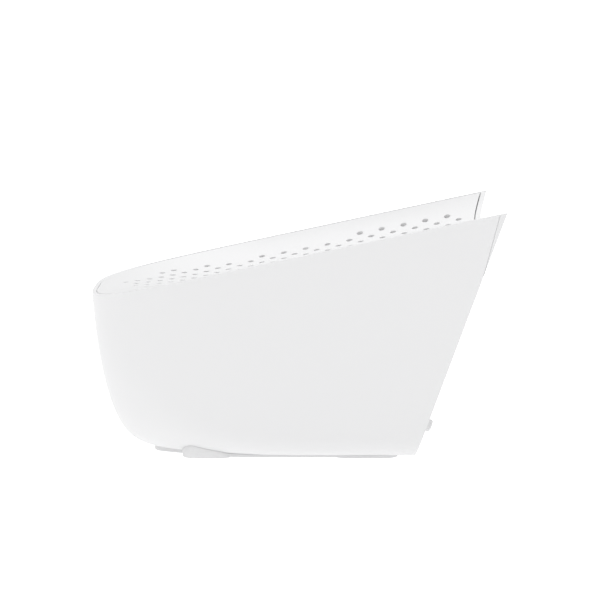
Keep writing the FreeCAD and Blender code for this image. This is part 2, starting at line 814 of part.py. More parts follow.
def rear_panel():
    """The leaning rear face with its band round the casing's ends, and the upright bay for the sockets."""
    plate = common("panel_plate", panel_front_block, hull_for_panel)
    ring = cut("band_ring", common("band_zone", band_block, hull_outer), hull_for_band)
    bay = common("bay_in_hull", block(
        "bay_box", f"2 * ({BAY_HALF} + bay_wall)", "total_length / 2",
        "bay_height + 2 * bay_wall", "0", f"{BAY_INNER} + total_length / 4",
        "bay_floor - bay_wall"), hull_for_panel)
    posts = []
    holes = []
    for kind, side, size, depth, actuator in BUTTONS:
        front = daughter_front(kind, depth)
        for n, way in enumerate(("-1", "1")):
            height = f"(button_height + {way} * daughter_post_reach * cos({LEAN}))"
            posts.append(normal_rod(f"{kind}_post_{n}", "daughter_post",
                                    f"{front} - panel_thickness / 2", f"{side} * {BUTTON_X}", front, height))
        holes.append(normal_rod(f"{kind}_hole", f"{kind}_button_diameter + 2 * button_clearance",
                                "panel_thickness * 3", f"{side} * {BUTTON_X}", "panel_thickness * 2"))
    whole = fuse("panel_whole", plate, ring, bay, *posts)
    cavity = block("bay_cavity", f"2 * {BAY_HALF}", "total_length / 2", "bay_height",
                   "0", f"{BAY_FACE} + total_length / 4", "bay_floor")
    for name, number in JACKS:
        holes.append(block(f"{name}_opening", "jack_width + 2 * port_clearance", "bay_wall * 3",
                           "jack_height + 2 * port_clearance", jack_x(number),
                           f"{BAY_FACE} - bay_wall / 2", f"{BOARD_TOP} - port_clearance"))
    holes.append(block("inlet_opening", "inlet_width + 2 * port_clearance", "bay_wall * 3",
                       "inlet_height + 2 * port_clearance", INLET_X,
                       f"{BAY_FACE} - bay_wall / 2", f"{BOARD_TOP} - port_clearance"))
    holes.append(rod("reset_opening", "reset_hole", "bay_wall * 3", "reset_x",
                     f"{BAY_FACE} - bay_wall * 2", f"{BOARD_TOP} + reset_axis", "-90 deg"))
    open_bay = cut("panel_bay", whole, cavity)
    drilled = cut("panel_drilled", open_bay, together("panel_drills", *holes))
    behind = cut("panel_behind", drilled, rear_block)
    sky = cut("panel_sky", behind, trough_sky)
    subpart(cut("panel", sky, rim_block), "rear_panel")


def base_plate():
    """The bottom plate with vent slots, board standoffs and the four foot blocks."""
    sole = fixed("plate_sole", rounded_prism(
        plate_outline(0.0), SIZE["plate_corner"], SIZE["plate_bottom"], SIZE["foot_block_top"] / 2))
    blocks = [foot_prism(f"foot_block_{name}", side, kind, "0", "foot_bottom", "foot_block_top")
              for name, side, kind in FEET]
    under = cut("plate_under_hull", fuse("plate_and_feet", sole, *blocks), hull_for_plate)
    standoffs = []
    drills = []
    for side in ("-1", "1"):
        for end in ("front", "rear"):
            spot = (f"{side} * standoff_x", f"standoff_{end}")
            tag = f"{end}_{'left' if side == '-1' else 'right'}"
            standoffs.append(rod(f"standoff_{tag}", "standoff_diameter",
                                 "board_underside - plate_bottom - standoff_sink", *spot,
                                 "plate_bottom + standoff_sink"))
            drills.append(rod(f"standoff_drill_{tag}", "screw_hole", "board_underside",
                              *spot, "hull_bottom"))
    for name, side, kind in FEET:
        spot = (f"{side} * {FOOT_X}", f"{kind}_y")
        drills.append(foot_prism(f"pad_recess_{name}", side, kind, "(pad_inset - pad_fit)",
                                 "foot_bottom - 1", "foot_bottom + pad_recess"))
        drills.append(rod(f"foot_drill_{name}", "screw_shank + 2 * screw_clearance", "foot_block_top",
                          *spot, "foot_bottom / 3"))
        seat = doc.addObject("Part::Cone", f"seat_{name}")
        bind(seat, "Radius1", "screw_head / 2 + case_head_clearance")
        bind(seat, "Radius2", "screw_shank / 2 + case_head_clearance")
        bind(seat, "Height", "case_head_height")
        drills.append(place(seat, *spot, "foot_bottom + pad_recess"))
    count = int(SIZE["slot_count"])
    for side in ("-1", "1"):
        for n in range(count):
            drills.append(block(f"slot_{n}_{'left' if side == '-1' else 'right'}", "slot_length",
                                "slot_width", "hull_bottom * 2", f"{side} * (slot_length / 2 + slot_width)",
                                f"({n} - (slot_count - 1) / 2) * slot_pitch + core_y", "0"))
    whole = fuse("plate_whole", under, *standoffs)
    subpart(cut("plate", whole, *drills), "base_plate")


def foot_pads():
    """The soft pads let into the undersides of the foot blocks."""
    for name, side, kind in FEET:
        pad = foot_prism(f"pad_{name}", side, kind, "pad_inset", "0", "(foot_bottom + pad_recess)")
        subpart(pad, f"foot_pad_{name}")


# ---------------------------------------------------------------- sockets


def jacks():
    """Network sockets: a moulded insert with its mouth and latch slot, a folded sheet shield, gold contacts."""
    shields = []
    contacts = []
    face = f"({BAY_FACE} - jack_recess)"
    for name, number in JACKS:
        x = jack_x(number)
        middle = f"{face} - jack_length / 2"
        insert = block(f"{name}_body", "jack_width - 2 * jack_shield_sheet", "jack_length - jack_shield_sheet",
                       "jack_height - jack_shield_sheet", x, f"{middle} + jack_shield_sheet / 2", BOARD_TOP)
        mouth = block(f"{name}_mouth", "jack_mouth_width", "jack_mouth_depth * 2", "jack_mouth_height",
                      x, face, f"{BOARD_TOP} + jack_mouth_sill")
        latch = block(f"{name}_latch", "jack_latch_width", "jack_mouth_depth * 2", "jack_latch_height + 1",
                      x, face, f"{BOARD_TOP} + jack_mouth_sill - jack_latch_height")
        subpart(cut(f"{name}_solid", insert, mouth, latch), name)
        outside = block(f"{name}_shield_out", "jack_width", "jack_length", "jack_height", x, middle, BOARD_TOP)
        inside = block(f"{name}_shield_in", "jack_width - 2 * jack_shield_sheet", "jack_length",
                       "jack_height - jack_shield_sheet", x, f"{middle} + jack_shield_sheet", BOARD_TOP)
        shields.append(cut(f"{name}_shield", outside, inside))
        for n in range(8):
            contacts.append(block(f"{name}_contact_{n}", "contact_thickness", "contact_length",
                                  "contact_thickness", f"{x} + ({n} - 3.5) * contact_pitch",
                                  f"{face} - jack_mouth_depth + contact_length / 2",
                                  f"{BOARD_TOP} + jack_mouth_sill + jack_mouth_height - contact_drop"))
    subpart(together("jack_shield_group", *shields), "jack_shields")
    subpart(together("jack_contact_group", *contacts), "jack_contacts")


def power_inlet():
    """The round low-voltage inlet with its centre pin."""
    face = f"({BAY_FACE} - jack_recess)"
    axis_height = f"({BOARD_TOP} + inlet_axis_height)"
    body = block("inlet_body", "inlet_width", "inlet_length", "inlet_height", INLET_X,
                 f"{face} - inlet_length / 2", BOARD_TOP)
    bore = rod("inlet_bore_drill", "inlet_bore", "inlet_depth + 1", INLET_X,
               f"{face} - inlet_depth", axis_height, "-90 deg")
    subpart(cut("inlet", body, bore), "power_inlet")
    pin = rod("pin", "inlet_pin", "inlet_depth - 1", INLET_X, f"{face} - inlet_depth", axis_height, "-90 deg")
    subpart(pin, "inlet_pin")


# ---------------------------------------------------------------- buttons


def outer_round(name, thing, radius):
    """Rounds the outermost circular edge of an upright-made cylinder."""
    doc.recompute()
    tip = thing.Placement.multVec(Vector(0, 0, thing.Height.Value))
    numbers = [n for n, edge in enumerate(thing.Shape.Edges, start=1)
               if edge.Closed and (edge.CenterOfMass - tip).Length < 0.01]
    rounded = doc.addObject("Part::Fillet", name)
    rounded.Base = thing
    rounded.Edges = [(n, radius, radius) for n in numbers]
    return rounded


def buttons():
    """The two rear buttons: a crowned cap with a flange behind the panel, its actuator, switch and board."""
    for kind, side, size, depth, actuator in BUTTONS:
        x = f"{side} * {BUTTON_X}"
        front = switch_front(kind)
        cap = normal_rod(f"{kind}_cap", f"{kind}_button_diameter", f"{kind}_button_proud + {BUTTON_DEPTH}",
                         x, BUTTON_DEPTH)
        crowned = outer_round(f"{kind}_crown", cap, SIZE["crown_round"])
        flange = normal_rod(f"{kind}_flange", f"{kind}_button_diameter + 2 * button_flange",
                            "flange_thickness", x, BUTTON_DEPTH)
        subpart(fuse(f"{kind}_button_solid", crowned, flange), f"{kind}_button")
        reach = f"({front} + actuator_entry)"
        stem = normal_rod(f"{kind}_stem", actuator, f"{reach} - {BUTTON_DEPTH}", x, reach)
        subpart(stem, f"{kind}_actuator")
        housing = normal_block(f"{kind}_housing", size, depth, size, x, f"({front} + {depth})")
        room = f"({front} + actuator_entry + {kind}_travel + press_room)"
        well = normal_rod(f"{kind}_well", f"{actuator} + 2 * actuator_clearance", room, x, room)
        subpart(cut(f"{kind}_switch_solid", housing, well), f"{kind}_switch")
        back = f"({front} + {depth} + daughter_thickness)"
        subpart(normal_block(f"{kind}_daughter", "daughter_width", "daughter_thickness",
                             "daughter_length", x, back), f"{kind}_switch_board")


def reset_switch():
    """The recessed reset switch, in line with its pinhole."""
    tip = f"({BAY_INNER} - board_rear_gap)"
    front = f"({tip} - reset_reach)"
    height = f"({BOARD_TOP} + reset_axis)"
    depth = "(reset_travel + press_room + actuator_entry)"
    body = block("reset_body", "reset_size", "reset_size", "reset_height", "reset_x",
                 f"{front} - reset_size / 2", BOARD_TOP)
    well = rod("reset_well", "reset_plunger_diameter + 2 * actuator_clearance", f"{depth} + 1",
               "reset_x", f"{front} - {depth}", height, "-90 deg")
    subpart(cut("reset_solid", body, well), "reset_switch")
    plunger = rod("reset_pin", "reset_plunger_diameter", "reset_reach + actuator_entry",
                  "reset_x", f"{front} - actuator_entry", height, "-90 deg")
    subpart(plunger, "reset_plunger")


# ---------------------------------------------------------------- board


BOARD_REAR = f"({BAY_INNER} - board_rear_gap)"


def origin_plane(body, role):
    for feature in body.Origin.OriginFeatures:
        if feature.Role == role:
            return feature
    raise ValueError(f"{body.Name} has no {role}")


def sketch_on(body, name, role="XY_Plane"):
    sketch = body.newObject("Sketcher::SketchObject", name)
    sketch.AttachmentSupport = (origin_plane(body, role), [""])
    sketch.MapMode = "FlatFace"
    return sketch


def size_constraint(sketch, constraint, text):
    """Adds a measured constraint and ties its value to the sheet."""
    number = sketch.addConstraint(constraint)
    bind(sketch, f"Constraints[{number}]", text)


def draw_rectangle(sketch, width, length, low_y, guess):
    """A rectangle centred on x that starts at low_y, with bound width and length."""
    half, low, high = guess
    corners = [Vector(-half, low, 0), Vector(half, low, 0), Vector(half, high, 0), Vector(-half, high, 0)]
    for n in range(4):
        sketch.addGeometry(Part.LineSegment(corners[n], corners[(n + 1) % 4]))
    for n in range(4):
        sketch.addConstraint(Sketcher.Constraint("Coincident", n, 2, (n + 1) % 4, 1))
    for n, way in ((1, "Vertical"), (2, "Horizontal"), (3, "Vertical")):
        sketch.addConstraint(Sketcher.Constraint(way, n))
    sketch.addConstraint(Sketcher.Constraint("Symmetric", 0, 1, 0, 2, -2))
    size_constraint(sketch, Sketcher.Constraint("DistanceX", 0, 1, 0, 2, 2 * half), width)
    size_constraint(sketch, Sketcher.Constraint("DistanceY", 1, 1, 1, 2, high - low), length)
    size_constraint(sketch, Sketcher.Constraint("DistanceY", -1, 1, 0, 1, low), low_y)


def draw_circle(sketch, diameter, x, y, guess):
    """A circle with bound diameter and centre."""
    at_x, at_y, radius = guess
    number = sketch.addGeometry(Part.Circle(Vector(at_x, at_y, 0), Vector(0, 0, 1), radius))
    size_constraint(sketch, Sketcher.Constraint("Diameter", number, 2 * radius), diameter)
    size_constraint(sketch, Sketcher.Constraint("DistanceX", -1, 1, number, 3, at_x), x)
    size_constraint(sketch, Sketcher.Constraint("DistanceY", -1, 1, number, 3, at_y), y)


def main_board():
    """The printed circuit board on its four standoffs, notched round the rear screw bosses."""
    body = doc.addObject("PartDesign::Body", "board_body")
    profile = sketch_on(body, "board_outline")
    half = SIZE["total_width"] / 2 - SIZE["board_side_room"]
    draw_rectangle(profile, "total_width - 2 * board_side_room", f"{BOARD_REAR} - board_front",
                   "board_front", (half, SIZE["board_front"], SIZE["total_length"] / 4))
    pad = body.newObject("PartDesign::Pad", "board_pad")
    pad.Profile = profile
    bind(pad, "Length", "board_thickness")
    holes = sketch_on(body, "board_holes")
    for side in (-1, 1):
        for end in ("front", "rear"):
            draw_circle(holes, "screw_shank + 2 * screw_clearance", f"{side} * standoff_x", f"standoff_{end}",
                        (side * SIZE["standoff_x"], SIZE[f"standoff_{end}"], 1.0))
        draw_circle(holes, "boss_diameter + boss_notch", f"{side} * {FOOT_X}", "rear_foot_y",
                    (side * half, SIZE["rear_foot_y"], SIZE["boss_diameter"]))
        draw_circle(holes, "screw_shank + 2 * screw_clearance", f"{side} * sink_screw_x", "core_y",
                    (side * SIZE["sink_screw_x"], SIZE["core_y"], 1.0))
    pocket = body.newObject("PartDesign::Pocket", "board_pocket")
    pocket.Profile = holes
    pocket.Type = 1
    pocket.Midplane = True
    body.Tip = pocket
    place(body, "0", "0", "board_underside")
    subpart(body, "main_board")


def chips():
    """The packages soldered to the board."""
    subpart(block("core_chip", "processor_size", "processor_size", "chip_height", "0",
                  "core_y - processor_ahead", BOARD_TOP),
            "processor")
    memory = [block(f"memory_{n}", "memory_length", "memory_width", "chip_height",
                    f"{way} * (memory_length + memory_gap) / 2", "core_y + memory_behind", BOARD_TOP)
              for n, way in enumerate(("-1", "1"))]
    subpart(together("memory_pair", *memory), "memory_chips")
    subpart(block("flash", "flash_length", "flash_width", "chip_height", "0", "core_y - flash_ahead",
                  BOARD_TOP),
            "flash_chip")
    radios = [block(f"radio_{n}", "radio_size", "radio_size", "chip_height",
                    f"{way} * radio_x", "core_y", BOARD_TOP)
              for n, way in enumerate(("-1", "1"))]
    subpart(together("radio_pair", *radios), "radio_chips")
    subpart(block("port_chip", "port_chip_size", "port_chip_size", "chip_height", "0",
                  "core_y + port_chip_behind", BOARD_TOP),
            "port_switch_chip")


def shield_can(name, width, length, x, y):
    """A folded sheet lid, open below."""
    outside = block(f"{name}_out", width, length, "shield_height", x, y, BOARD_TOP)
    inside = block(f"{name}_in", f"{width} - 2 * shield_sheet", f"{length} - 2 * shield_sheet",
                   "shield_height - shield_sheet", x, y, BOARD_TOP)
    return cut(name, outside, inside)


def shields_and_sink():
    """Shield cans, the soft pads that carry the heat, and the finned heat sink on its two screws."""
    subpart(shield_can("core_can", "core_shield_width", "core_shield_length", "0", "core_y"), "core_shield")
    cans = [shield_can(f"radio_can_{n}", "shield_width", "shield_length", f"{way} * radio_x", "core_y")
            for n, way in enumerate(("-1", "1"))]
    subpart(together("radio_cans", *cans), "radio_shields")
    inner = block("inner_pad", "processor_size", "processor_size",
                  "shield_height - shield_sheet - chip_height", "0", "core_y - processor_ahead",
                  f"{BOARD_TOP} + chip_height")
    outer = block("outer_pad", "pad_size", "pad_size", "pad_thickness",
                  "0", "core_y - pad_ahead", f"{BOARD_TOP} + shield_height")
    subpart(together("pads", inner, outer), "thermal_pads")
    floor = f"({BOARD_TOP} + shield_height + pad_thickness)"
    base = block("sink_plate", "sink_width", "sink_length", "sink_base", "0", "core_y", floor)
    ears = block("sink_ears", "2 * (sink_screw_x + ear_width / 2)", "ear_width", "sink_base",
                 "0", "core_y", floor)
    fins = []
    count = int(SIZE["sink_fins"])
    for n in range(count):
        x = f"({n} / (sink_fins - 1) - 0.5) * (sink_width - fin_thickness)"
        fins.append(block(f"fin_{n}", "fin_thickness", "sink_length", "sink_height", x, "core_y", floor))
    screw_holes = [rod(f"ear_hole_{n}", "screw_shank + 2 * screw_clearance", "sink_height",
                       f"{way} * sink_screw_x", "core_y", f"{floor} - 1")
                   for n, way in enumerate(("-1", "1"))]
    whole = fuse("sink_whole", base, ears, *fins)
    subpart(cut("sink", whole, together("ear_holes", *screw_holes)), "heat_sink")
    screws = []
    for n, way in enumerate(("-1", "1")):
        spot = (f"{way} * sink_screw_x", "core_y")
        length = f"({floor} + sink_base - board_underside + sink_screw_tail)"
        shank = rod(f"sink_shank_{n}", "screw_shank", length, *spot, "board_underside - sink_screw_tail")
        head = rod(f"sink_head_{n}", "screw_head", "screw_head_height", *spot, f"{floor} + sink_base")
        screws.append(fuse(f"sink_screw_{n}", shank, head))
    subpart(together("sink_screw_pair", *screws), "heat_sink_screws")


def small_parts():
    """Transformers behind the sockets, capacitors, coils and crystals."""
    rear = f"({BAY_FACE} - jack_recess - jack_length - transformer_gap)"
    transformers = [block(f"transformer_{n}", "transformer_width", "transformer_length", "transformer_height",
                          jack_x(n), f"{rear} - transformer_length / 2", BOARD_TOP) for n in range(4)]
    subpart(together("transformer_row", *transformers), "port_transformers")
    capacitors = [rod(f"capacitor_{n}", "capacitor_diameter", "capacitor_height",
                      f"{INLET_X} + capacitor_from_inlet",
                      f"{rear} - capacitor_gap + {n} * capacitor_pitch", BOARD_TOP) for n in range(2)]
    subpart(together("capacitor_pair", *capacitors), "capacitors")
    coils = [block(f"coil_{side}_{n}", "inductor_size", "inductor_size", "inductor_height",
                   f"{way} * inductor_x", f"inductor_y + {n} * inductor_pitch", BOARD_TOP)
             for side, way in (("left", "-1"), ("right", "1")) for n in range(2)]
    subpart(together("coils", *coils), "inductors")
    crystals = [block(f"crystal_{n}", "crystal_length", "crystal_width", "crystal_height",
                      f"{way} * crystal_x", "core_y - crystal_ahead", BOARD_TOP)
                for n, way in enumerate(("-1", "1"))]
    subpart(together("crystal_pair", *crystals), "crystals")


def screws():
    """Pan-head board screws and the countersunk case screws under the foot pads."""
    board = []
    for side, way in (("left", "-1"), ("right", "1")):
        for end in ("front", "rear"):
            spot = (f"{way} * standoff_x", f"standoff_{end}")
            shank = rod(f"board_shank_{end}_{side}", "screw_shank", "board_screw_length",
                        *spot, f"{BOARD_TOP} - board_screw_length")
            head = rod(f"board_head_{end}_{side}", "screw_head", "screw_head_height", *spot, BOARD_TOP)
            board.append(fuse(f"board_screw_{end}_{side}", shank, head))
    subpart(together("board_screw_set", *board), "board_screws")
    case = []
    for name, side, kind in FEET:
        spot = (f"{side} * {FOOT_X}", f"{kind}_y")
        head = doc.addObject("Part::Cone", f"case_head_{name}")
        bind(head, "Radius1", "screw_head / 2")
        bind(head, "Radius2", "screw_shank / 2")
        bind(head, "Height", "case_head_height")
        place(head, *spot, "foot_bottom + pad_recess")
        shank = rod(f"case_shank_{name}", "screw_shank", "case_screw_length", *spot, "foot_bottom + pad_recess")
        case.append(fuse(f"case_screw_{name}", head, shank))
    subpart(together("case_screw_set", *case), "case_screws")


# ---------------------------------------------------------------- status light


def status_light():
    """A lamp on the board's front edge and a clear rod that carries its light to the nose."""
    start = "(board_front + led_gap)"
    lamp = block("lamp", "led_width", "led_length", "led_height", "0",
                 f"{start} + led_gap + led_length / 2", BOARD_TOP)
    subpart(lamp, "status_led")
    guide = rod("guide", "light_diameter", "total_length / 2", "0", start, "light_height", "90 deg")
    subpart(common("guide_flush", guide, hull_outer), "light_guide")


# ---------------------------------------------------------------- antennas


def antennas():
    """Four strip antennas standing in the side walls' channels."""
    for name, side, y, z in antenna_places():
        near = f"({wall_x(z)} - antenna_room)"
        strip = block(f"strip_{name}", "antenna_sheet", "antenna_width", "antenna_length",
                      f"{side} * ({near} + antenna_room / 2)", f"{y}", f"{z} + rail_foot")
        subpart(strip, f"antenna_{name}")


# How far along a lead has gone at each of its bends, as shares of its whole way across,
# rearwards and up: straight up out of its socket, over to the wall, and up the antenna's foot.
LEAD_BENDS = [(0.0, 0.0, 0.0), (0.0, 0.0, 0.05), (0.07, 0.04, 0.12), (0.29, 0.18, 0.21), (0.56, 0.42, 0.34),
              (0.79, 0.71, 0.49), (0.92, 0.91, 0.62), (0.99, 0.99, 0.72), (1.0, 1.0, 1.0)]
SOCKET_PLACES = {"left_front": -14.0, "right_front": -14.0, "left_rear": 0.0, "right_rear": 0.0}
SOCKET_X = "(total_width / 2 - board_side_room - antenna_socket_inset)"


BEND_SHARE = 0.45


def bent_tube(points, diameter):
    """A round tube along straight runs joined by tangent arcs."""
    edges = []
    start = points[0]
    for before, corner, after in zip(points, points[1:], points[2:]):
        back = before - corner
        on = after - corner
        setback = BEND_SHARE * min(back.Length, on.Length)
        back.normalize()
        on.normalize()
        first = corner + back * setback
        last = corner + on * setback
        half_turn = (math.pi - back.getAngle(on)) / 2
        radius = setback / math.tan(half_turn)
        middle_way = back + on
        middle_way.normalize()
        centre_gap = radius / math.cos(half_turn)
        middle = corner + middle_way * (centre_gap - radius)
        edges.append(Part.LineSegment(start, first).toShape())
        edges.append(Part.Arc(first, middle, last).toShape())
        start = last
    edges.append(Part.LineSegment(start, points[-1]).toShape())
    ring = Part.Wire(Part.Circle(points[0], points[1] - points[0], diameter / 2).toShape())
    return Part.Wire(edges).makePipeShell([ring], True, True)


def lead_route(side, start_y, y, z):
    """The bends of one antenna's lead, from the top of its socket to the antenna's inner face."""
    half = SIZE["total_width"] / 2
    wall = half - SIZE["wall"] - SIZE["side_draft"] * (SIZE["total_height"] - z)
    strip = wall - (SIZE["antenna_room"] + SIZE["antenna_sheet"]) / 2
    start = Vector(half - SIZE["board_side_room"] - SIZE["antenna_socket_inset"], start_y,
                   SIZE["board_underside"] + SIZE["board_thickness"] + SIZE["antenna_socket_height"])
    end = Vector(strip - SIZE["lead_diameter"] / 2 - SIZE["solder_gap"], y, z + SIZE["lead_rise"])
    way = end - start
    points = [start + Vector(way.x * a, way.y * b, way.z * c) for a, b, c in LEAD_BENDS]
    return [Vector(side * point.x, point.y, point.z) for point in points]


def antenna_leads():
    """The thin coaxial leads and their snap-on sockets."""
    sockets = []
    for name, side, y, z in antenna_places():
        start_y = SOCKET_PLACES[name]
        sockets.append(rod(f"socket_{name}", "antenna_socket_diameter", "antenna_socket_height",
                           f"{side} * {SOCKET_X}", f"{start_y}", BOARD_TOP))
        route = lead_route(side, start_y, y, z)
        subpart(fixed(f"lead_{name}", bent_tube(route, SIZE["lead_diameter"])), f"antenna_lead_{name}")
    subpart(together("socket_set", *sockets), "antenna_sockets")


# ---------------------------------------------------------------- build, check, write


def build():
    outer_shell()
    top_cover()
    rear_panel()
    base_plate()
    foot_pads()
    jacks()
    power_inlet()
    buttons()
    reset_switch()
    main_board()
    chips()
    shields_and_sink()
    small_parts()
    screws()
    status_light()
    antennas()
    antenna_leads()
    doc.recompute()


def check():
    """Stops before anything is written if a feature failed or a sub-part isn't a sound solid."""
    for thing in doc.Objects:
        if "Invalid" in thing.State or "Error" in thing.State:
            raise RuntimeError(f"{thing.Name} failed: {thing.State}")
    for part in SUBPARTS:
        if part.Shape.isNull() or not part.Shape.isValid() or not part.Shape.Solids:
            raise RuntimeError(f"{part.Label} has no sound solid")


def write():
    os.makedirs("parts", exist_ok=True)
    for part in SUBPARTS:
        part.Shape.exportStep(f"parts/{part.Label}.step")
        print(f"{part.Label}: {len(part.Shape.Solids)} solids, {part.Shape.Volume:.1f} mm3")


build()
check()
write()
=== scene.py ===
import json
import math

import bmesh
import bpy
import numpy as np
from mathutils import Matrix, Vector


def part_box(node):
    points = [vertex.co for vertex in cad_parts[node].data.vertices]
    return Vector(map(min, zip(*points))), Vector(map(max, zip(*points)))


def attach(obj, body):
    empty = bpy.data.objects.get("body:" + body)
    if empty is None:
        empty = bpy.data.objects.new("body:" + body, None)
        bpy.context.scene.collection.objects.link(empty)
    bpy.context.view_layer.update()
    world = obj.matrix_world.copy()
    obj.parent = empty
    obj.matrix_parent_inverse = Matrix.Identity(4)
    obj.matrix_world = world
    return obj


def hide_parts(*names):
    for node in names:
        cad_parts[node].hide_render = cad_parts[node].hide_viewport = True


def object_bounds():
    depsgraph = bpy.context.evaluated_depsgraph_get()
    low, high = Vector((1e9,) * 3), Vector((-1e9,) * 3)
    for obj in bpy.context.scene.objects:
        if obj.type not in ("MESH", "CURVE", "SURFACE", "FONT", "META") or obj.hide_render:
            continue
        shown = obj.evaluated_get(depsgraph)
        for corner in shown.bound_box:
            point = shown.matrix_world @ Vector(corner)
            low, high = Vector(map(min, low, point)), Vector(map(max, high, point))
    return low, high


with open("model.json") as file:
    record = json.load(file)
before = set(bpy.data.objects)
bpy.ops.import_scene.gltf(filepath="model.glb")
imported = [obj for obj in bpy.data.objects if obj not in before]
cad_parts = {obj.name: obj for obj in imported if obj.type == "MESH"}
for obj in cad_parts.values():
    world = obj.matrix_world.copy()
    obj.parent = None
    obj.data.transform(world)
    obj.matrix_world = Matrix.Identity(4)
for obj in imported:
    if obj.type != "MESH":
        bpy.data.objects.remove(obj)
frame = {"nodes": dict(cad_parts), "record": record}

cad_low, cad_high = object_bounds()


# --- Table, light and camera ---------------------------------------------------------------
# A seamless white light table under an evenly white studio, with one large soft box overhead
# and a smaller one in front of the nose. None of this is part of the router.

def look_from(thing, place, towards):
    """Stands a lamp or the camera at a place and turns it along a direction."""
    thing.location = place
    thing.rotation_mode = "QUATERNION"
    thing.rotation_quaternion = Vector(towards).to_track_quat("-Z", "Y")


def soft_box(name, place, width, height, power):
    """A flat lamp that looks at the middle of the router."""
    lamp = bpy.data.lights.new(name, "AREA")
    lamp.shape = "RECTANGLE"
    lamp.size = width
    lamp.size_y = height
    lamp.energy = power
    thing = bpy.data.objects.new(name, lamp)
    bpy.context.scene.collection.objects.link(thing)
    look_from(thing, Vector(place), (cad_low + cad_high) / 2 - Vector(place))


soft_box("soft_box_top", (0.1, -0.1, 1.2), 1.4, 1.4, 2.4)
soft_box("soft_box_nose_side", (0.5, -1.3, 0.5), 0.8, 0.8, 0.25)


def math_node(tree, operation, *values):
    """A Math node whose inputs are sockets or plain numbers."""
    node = tree.nodes.new("ShaderNodeMath")
    node.operation = operation
    for socket, value in zip(node.inputs, values):
        if isinstance(value, bpy.types.NodeSocket):
            tree.links.new(value, socket)
        else:
            socket.default_value = value
    return node.outputs[0]


# The studio's air is brighter overhead than at the horizon, and the backdrop itself is plain white.
HORIZON_LIGHT, OVERHEAD_LIGHT = 0.36, 1.1
world = bpy.data.worlds.new("studio_air")
bpy.context.scene.world = world
world.use_nodes = True
air_tree = world.node_tree
height = air_tree.nodes.new("ShaderNodeSeparateXYZ")
air_tree.links.new(air_tree.nodes.new("ShaderNodeTexCoord").outputs["Generated"], height.inputs[0])
overhead = math_node(air_tree, "MULTIPLY_ADD", math_node(air_tree, "MAXIMUM", height.outputs["Z"], 0.0),
                     OVERHEAD_LIGHT, HORIZON_LIGHT)
seen = air_tree.nodes.new("ShaderNodeLightPath").outputs["Is Camera Ray"]
air = air_tree.nodes["Background"]
air.inputs["Color"].default_value = (1.0, 1.0, 1.0, 1.0)
air_tree.links.new(math_node(air_tree, "MAXIMUM", overhead, seen), air.inputs["Strength"])
bpy.context.scene.view_settings.view_transform = "Standard"

TABLE_REACH = 60.0
TABLE_GLOW = 0.84
table_mesh = bpy.data.meshes.new("table_top")
table_corners = [(-1, -1), (1, -1), (1, 1), (-1, 1)]
table_mesh.from_pydata([(x * TABLE_REACH, y * TABLE_REACH, 0) for x, y in table_corners], [], [(0, 1, 2, 3)])
table = bpy.data.objects.new("table_top", table_mesh)
bpy.context.scene.collection.objects.link(table)
table_sheet = bpy.data.materials.new("table_sheet")
table_sheet.use_nodes = True
sheet_tree = table_sheet.node_tree
sheet_shader = sheet_tree.nodes["Principled BSDF"]
sheet_shader.inputs["Base Color"].default_value = (0.4, 0.4, 0.4, 1.0)
sheet_shader.inputs["Roughness"].default_value = 0.95
sheet_shader.inputs["Specular IOR Level"].default_value = 0.0
sheet_shader.inputs["Emission Color"].default_value = (1.0, 1.0, 1.0, 1.0)
seen = sheet_tree.nodes.new("ShaderNodeLightPath").outputs["Is Camera Ray"]
glow = math_node(sheet_tree, "MAXIMUM", seen, TABLE_GLOW)
sheet_tree.links.new(glow, sheet_shader.inputs["Emission Strength"])
table_mesh.materials.append(table_sheet)

camera = bpy.data.cameras.new("camera")
camera.sensor_width = 36.0
camera.lens = 154.06
viewer = bpy.data.objects.new("camera", camera)
bpy.context.scene.collection.objects.link(viewer)
look_from(viewer, Vector((1.1731, -0.0021, 0.2118)), (-0.99225, 0.00367, -0.12428))
bpy.context.scene.camera = viewer


# --- Outer shell ---------------------------------------------------------------------------
# The side walls, nose and bottom in one piece of injection-moulded white ABS with a fine satin
# mould texture. The walls lean in a little and roll under with a large round, the lip is cut
# along a sloping plane, and the bottom is open under the board.

MM = 0.001
LENGTH = (cad_high.y - cad_low.y) / MM
HALF_WIDTH = (cad_high.x - cad_low.x) / 2 / MM
HEIGHT = cad_high.z / MM
RIM_SLOPE = 0.2127
REAR_LEAN = math.atan(0.3625)
HULL_BOTTOM = 1.8
WALL = 2.0
NOSE_LENGTH, SIDE_POWER, NOSE_POWER, TAPER = 120.0, 3.594, 5.842, 0.0117
SIDE_DRAFT, FRONT_DRAFT = 0.03, 0.066
SIDE_ROUND, FRONT_ROUND, FRONT_ROUND_POWER = 9.0, 68.6, 0.417
KEEL_SETBACK, KEEL_NOSE, KEEL_POWER = 38.3, 69.7, 2.6
BAND_WIDTH, BAND_HEIGHT, BAND_GAP = 2.9, 28.0, 0.12
SHELL_COLUMNS, WALL_ROWS, ROUND_ROWS = 170, 26, 34
LIP_ROUND, GUIDE_CLEARANCE = 0.35, 0.15


def rim_height(station):
    """The height of the sloping rim, in millimetres, at a distance behind the nose."""
    return HEIGHT - RIM_SLOPE * (LENGTH - station)


def plan_outline(start, nose, half, side_power, nose_power, taper, count):
    """Half of a plan outline from the nose to the rear, at equal steps along it."""
    turn = np.linspace(0, math.pi / 2, 2001)
    station = np.append(start + nose * (1 - np.cos(turn).clip(0) ** (2 / nose_power)), LENGTH + 14)
    width = np.append(half * np.sin(turn) ** (2 / side_power), half)
    width -= taper * (LENGTH - station) * width / half
    run = np.append(0, np.cumsum(np.hypot(np.diff(width), np.diff(station))))
    steps = np.linspace(0, run[-1], count)
    return np.interp(steps, run, width), np.interp(steps, run, station)


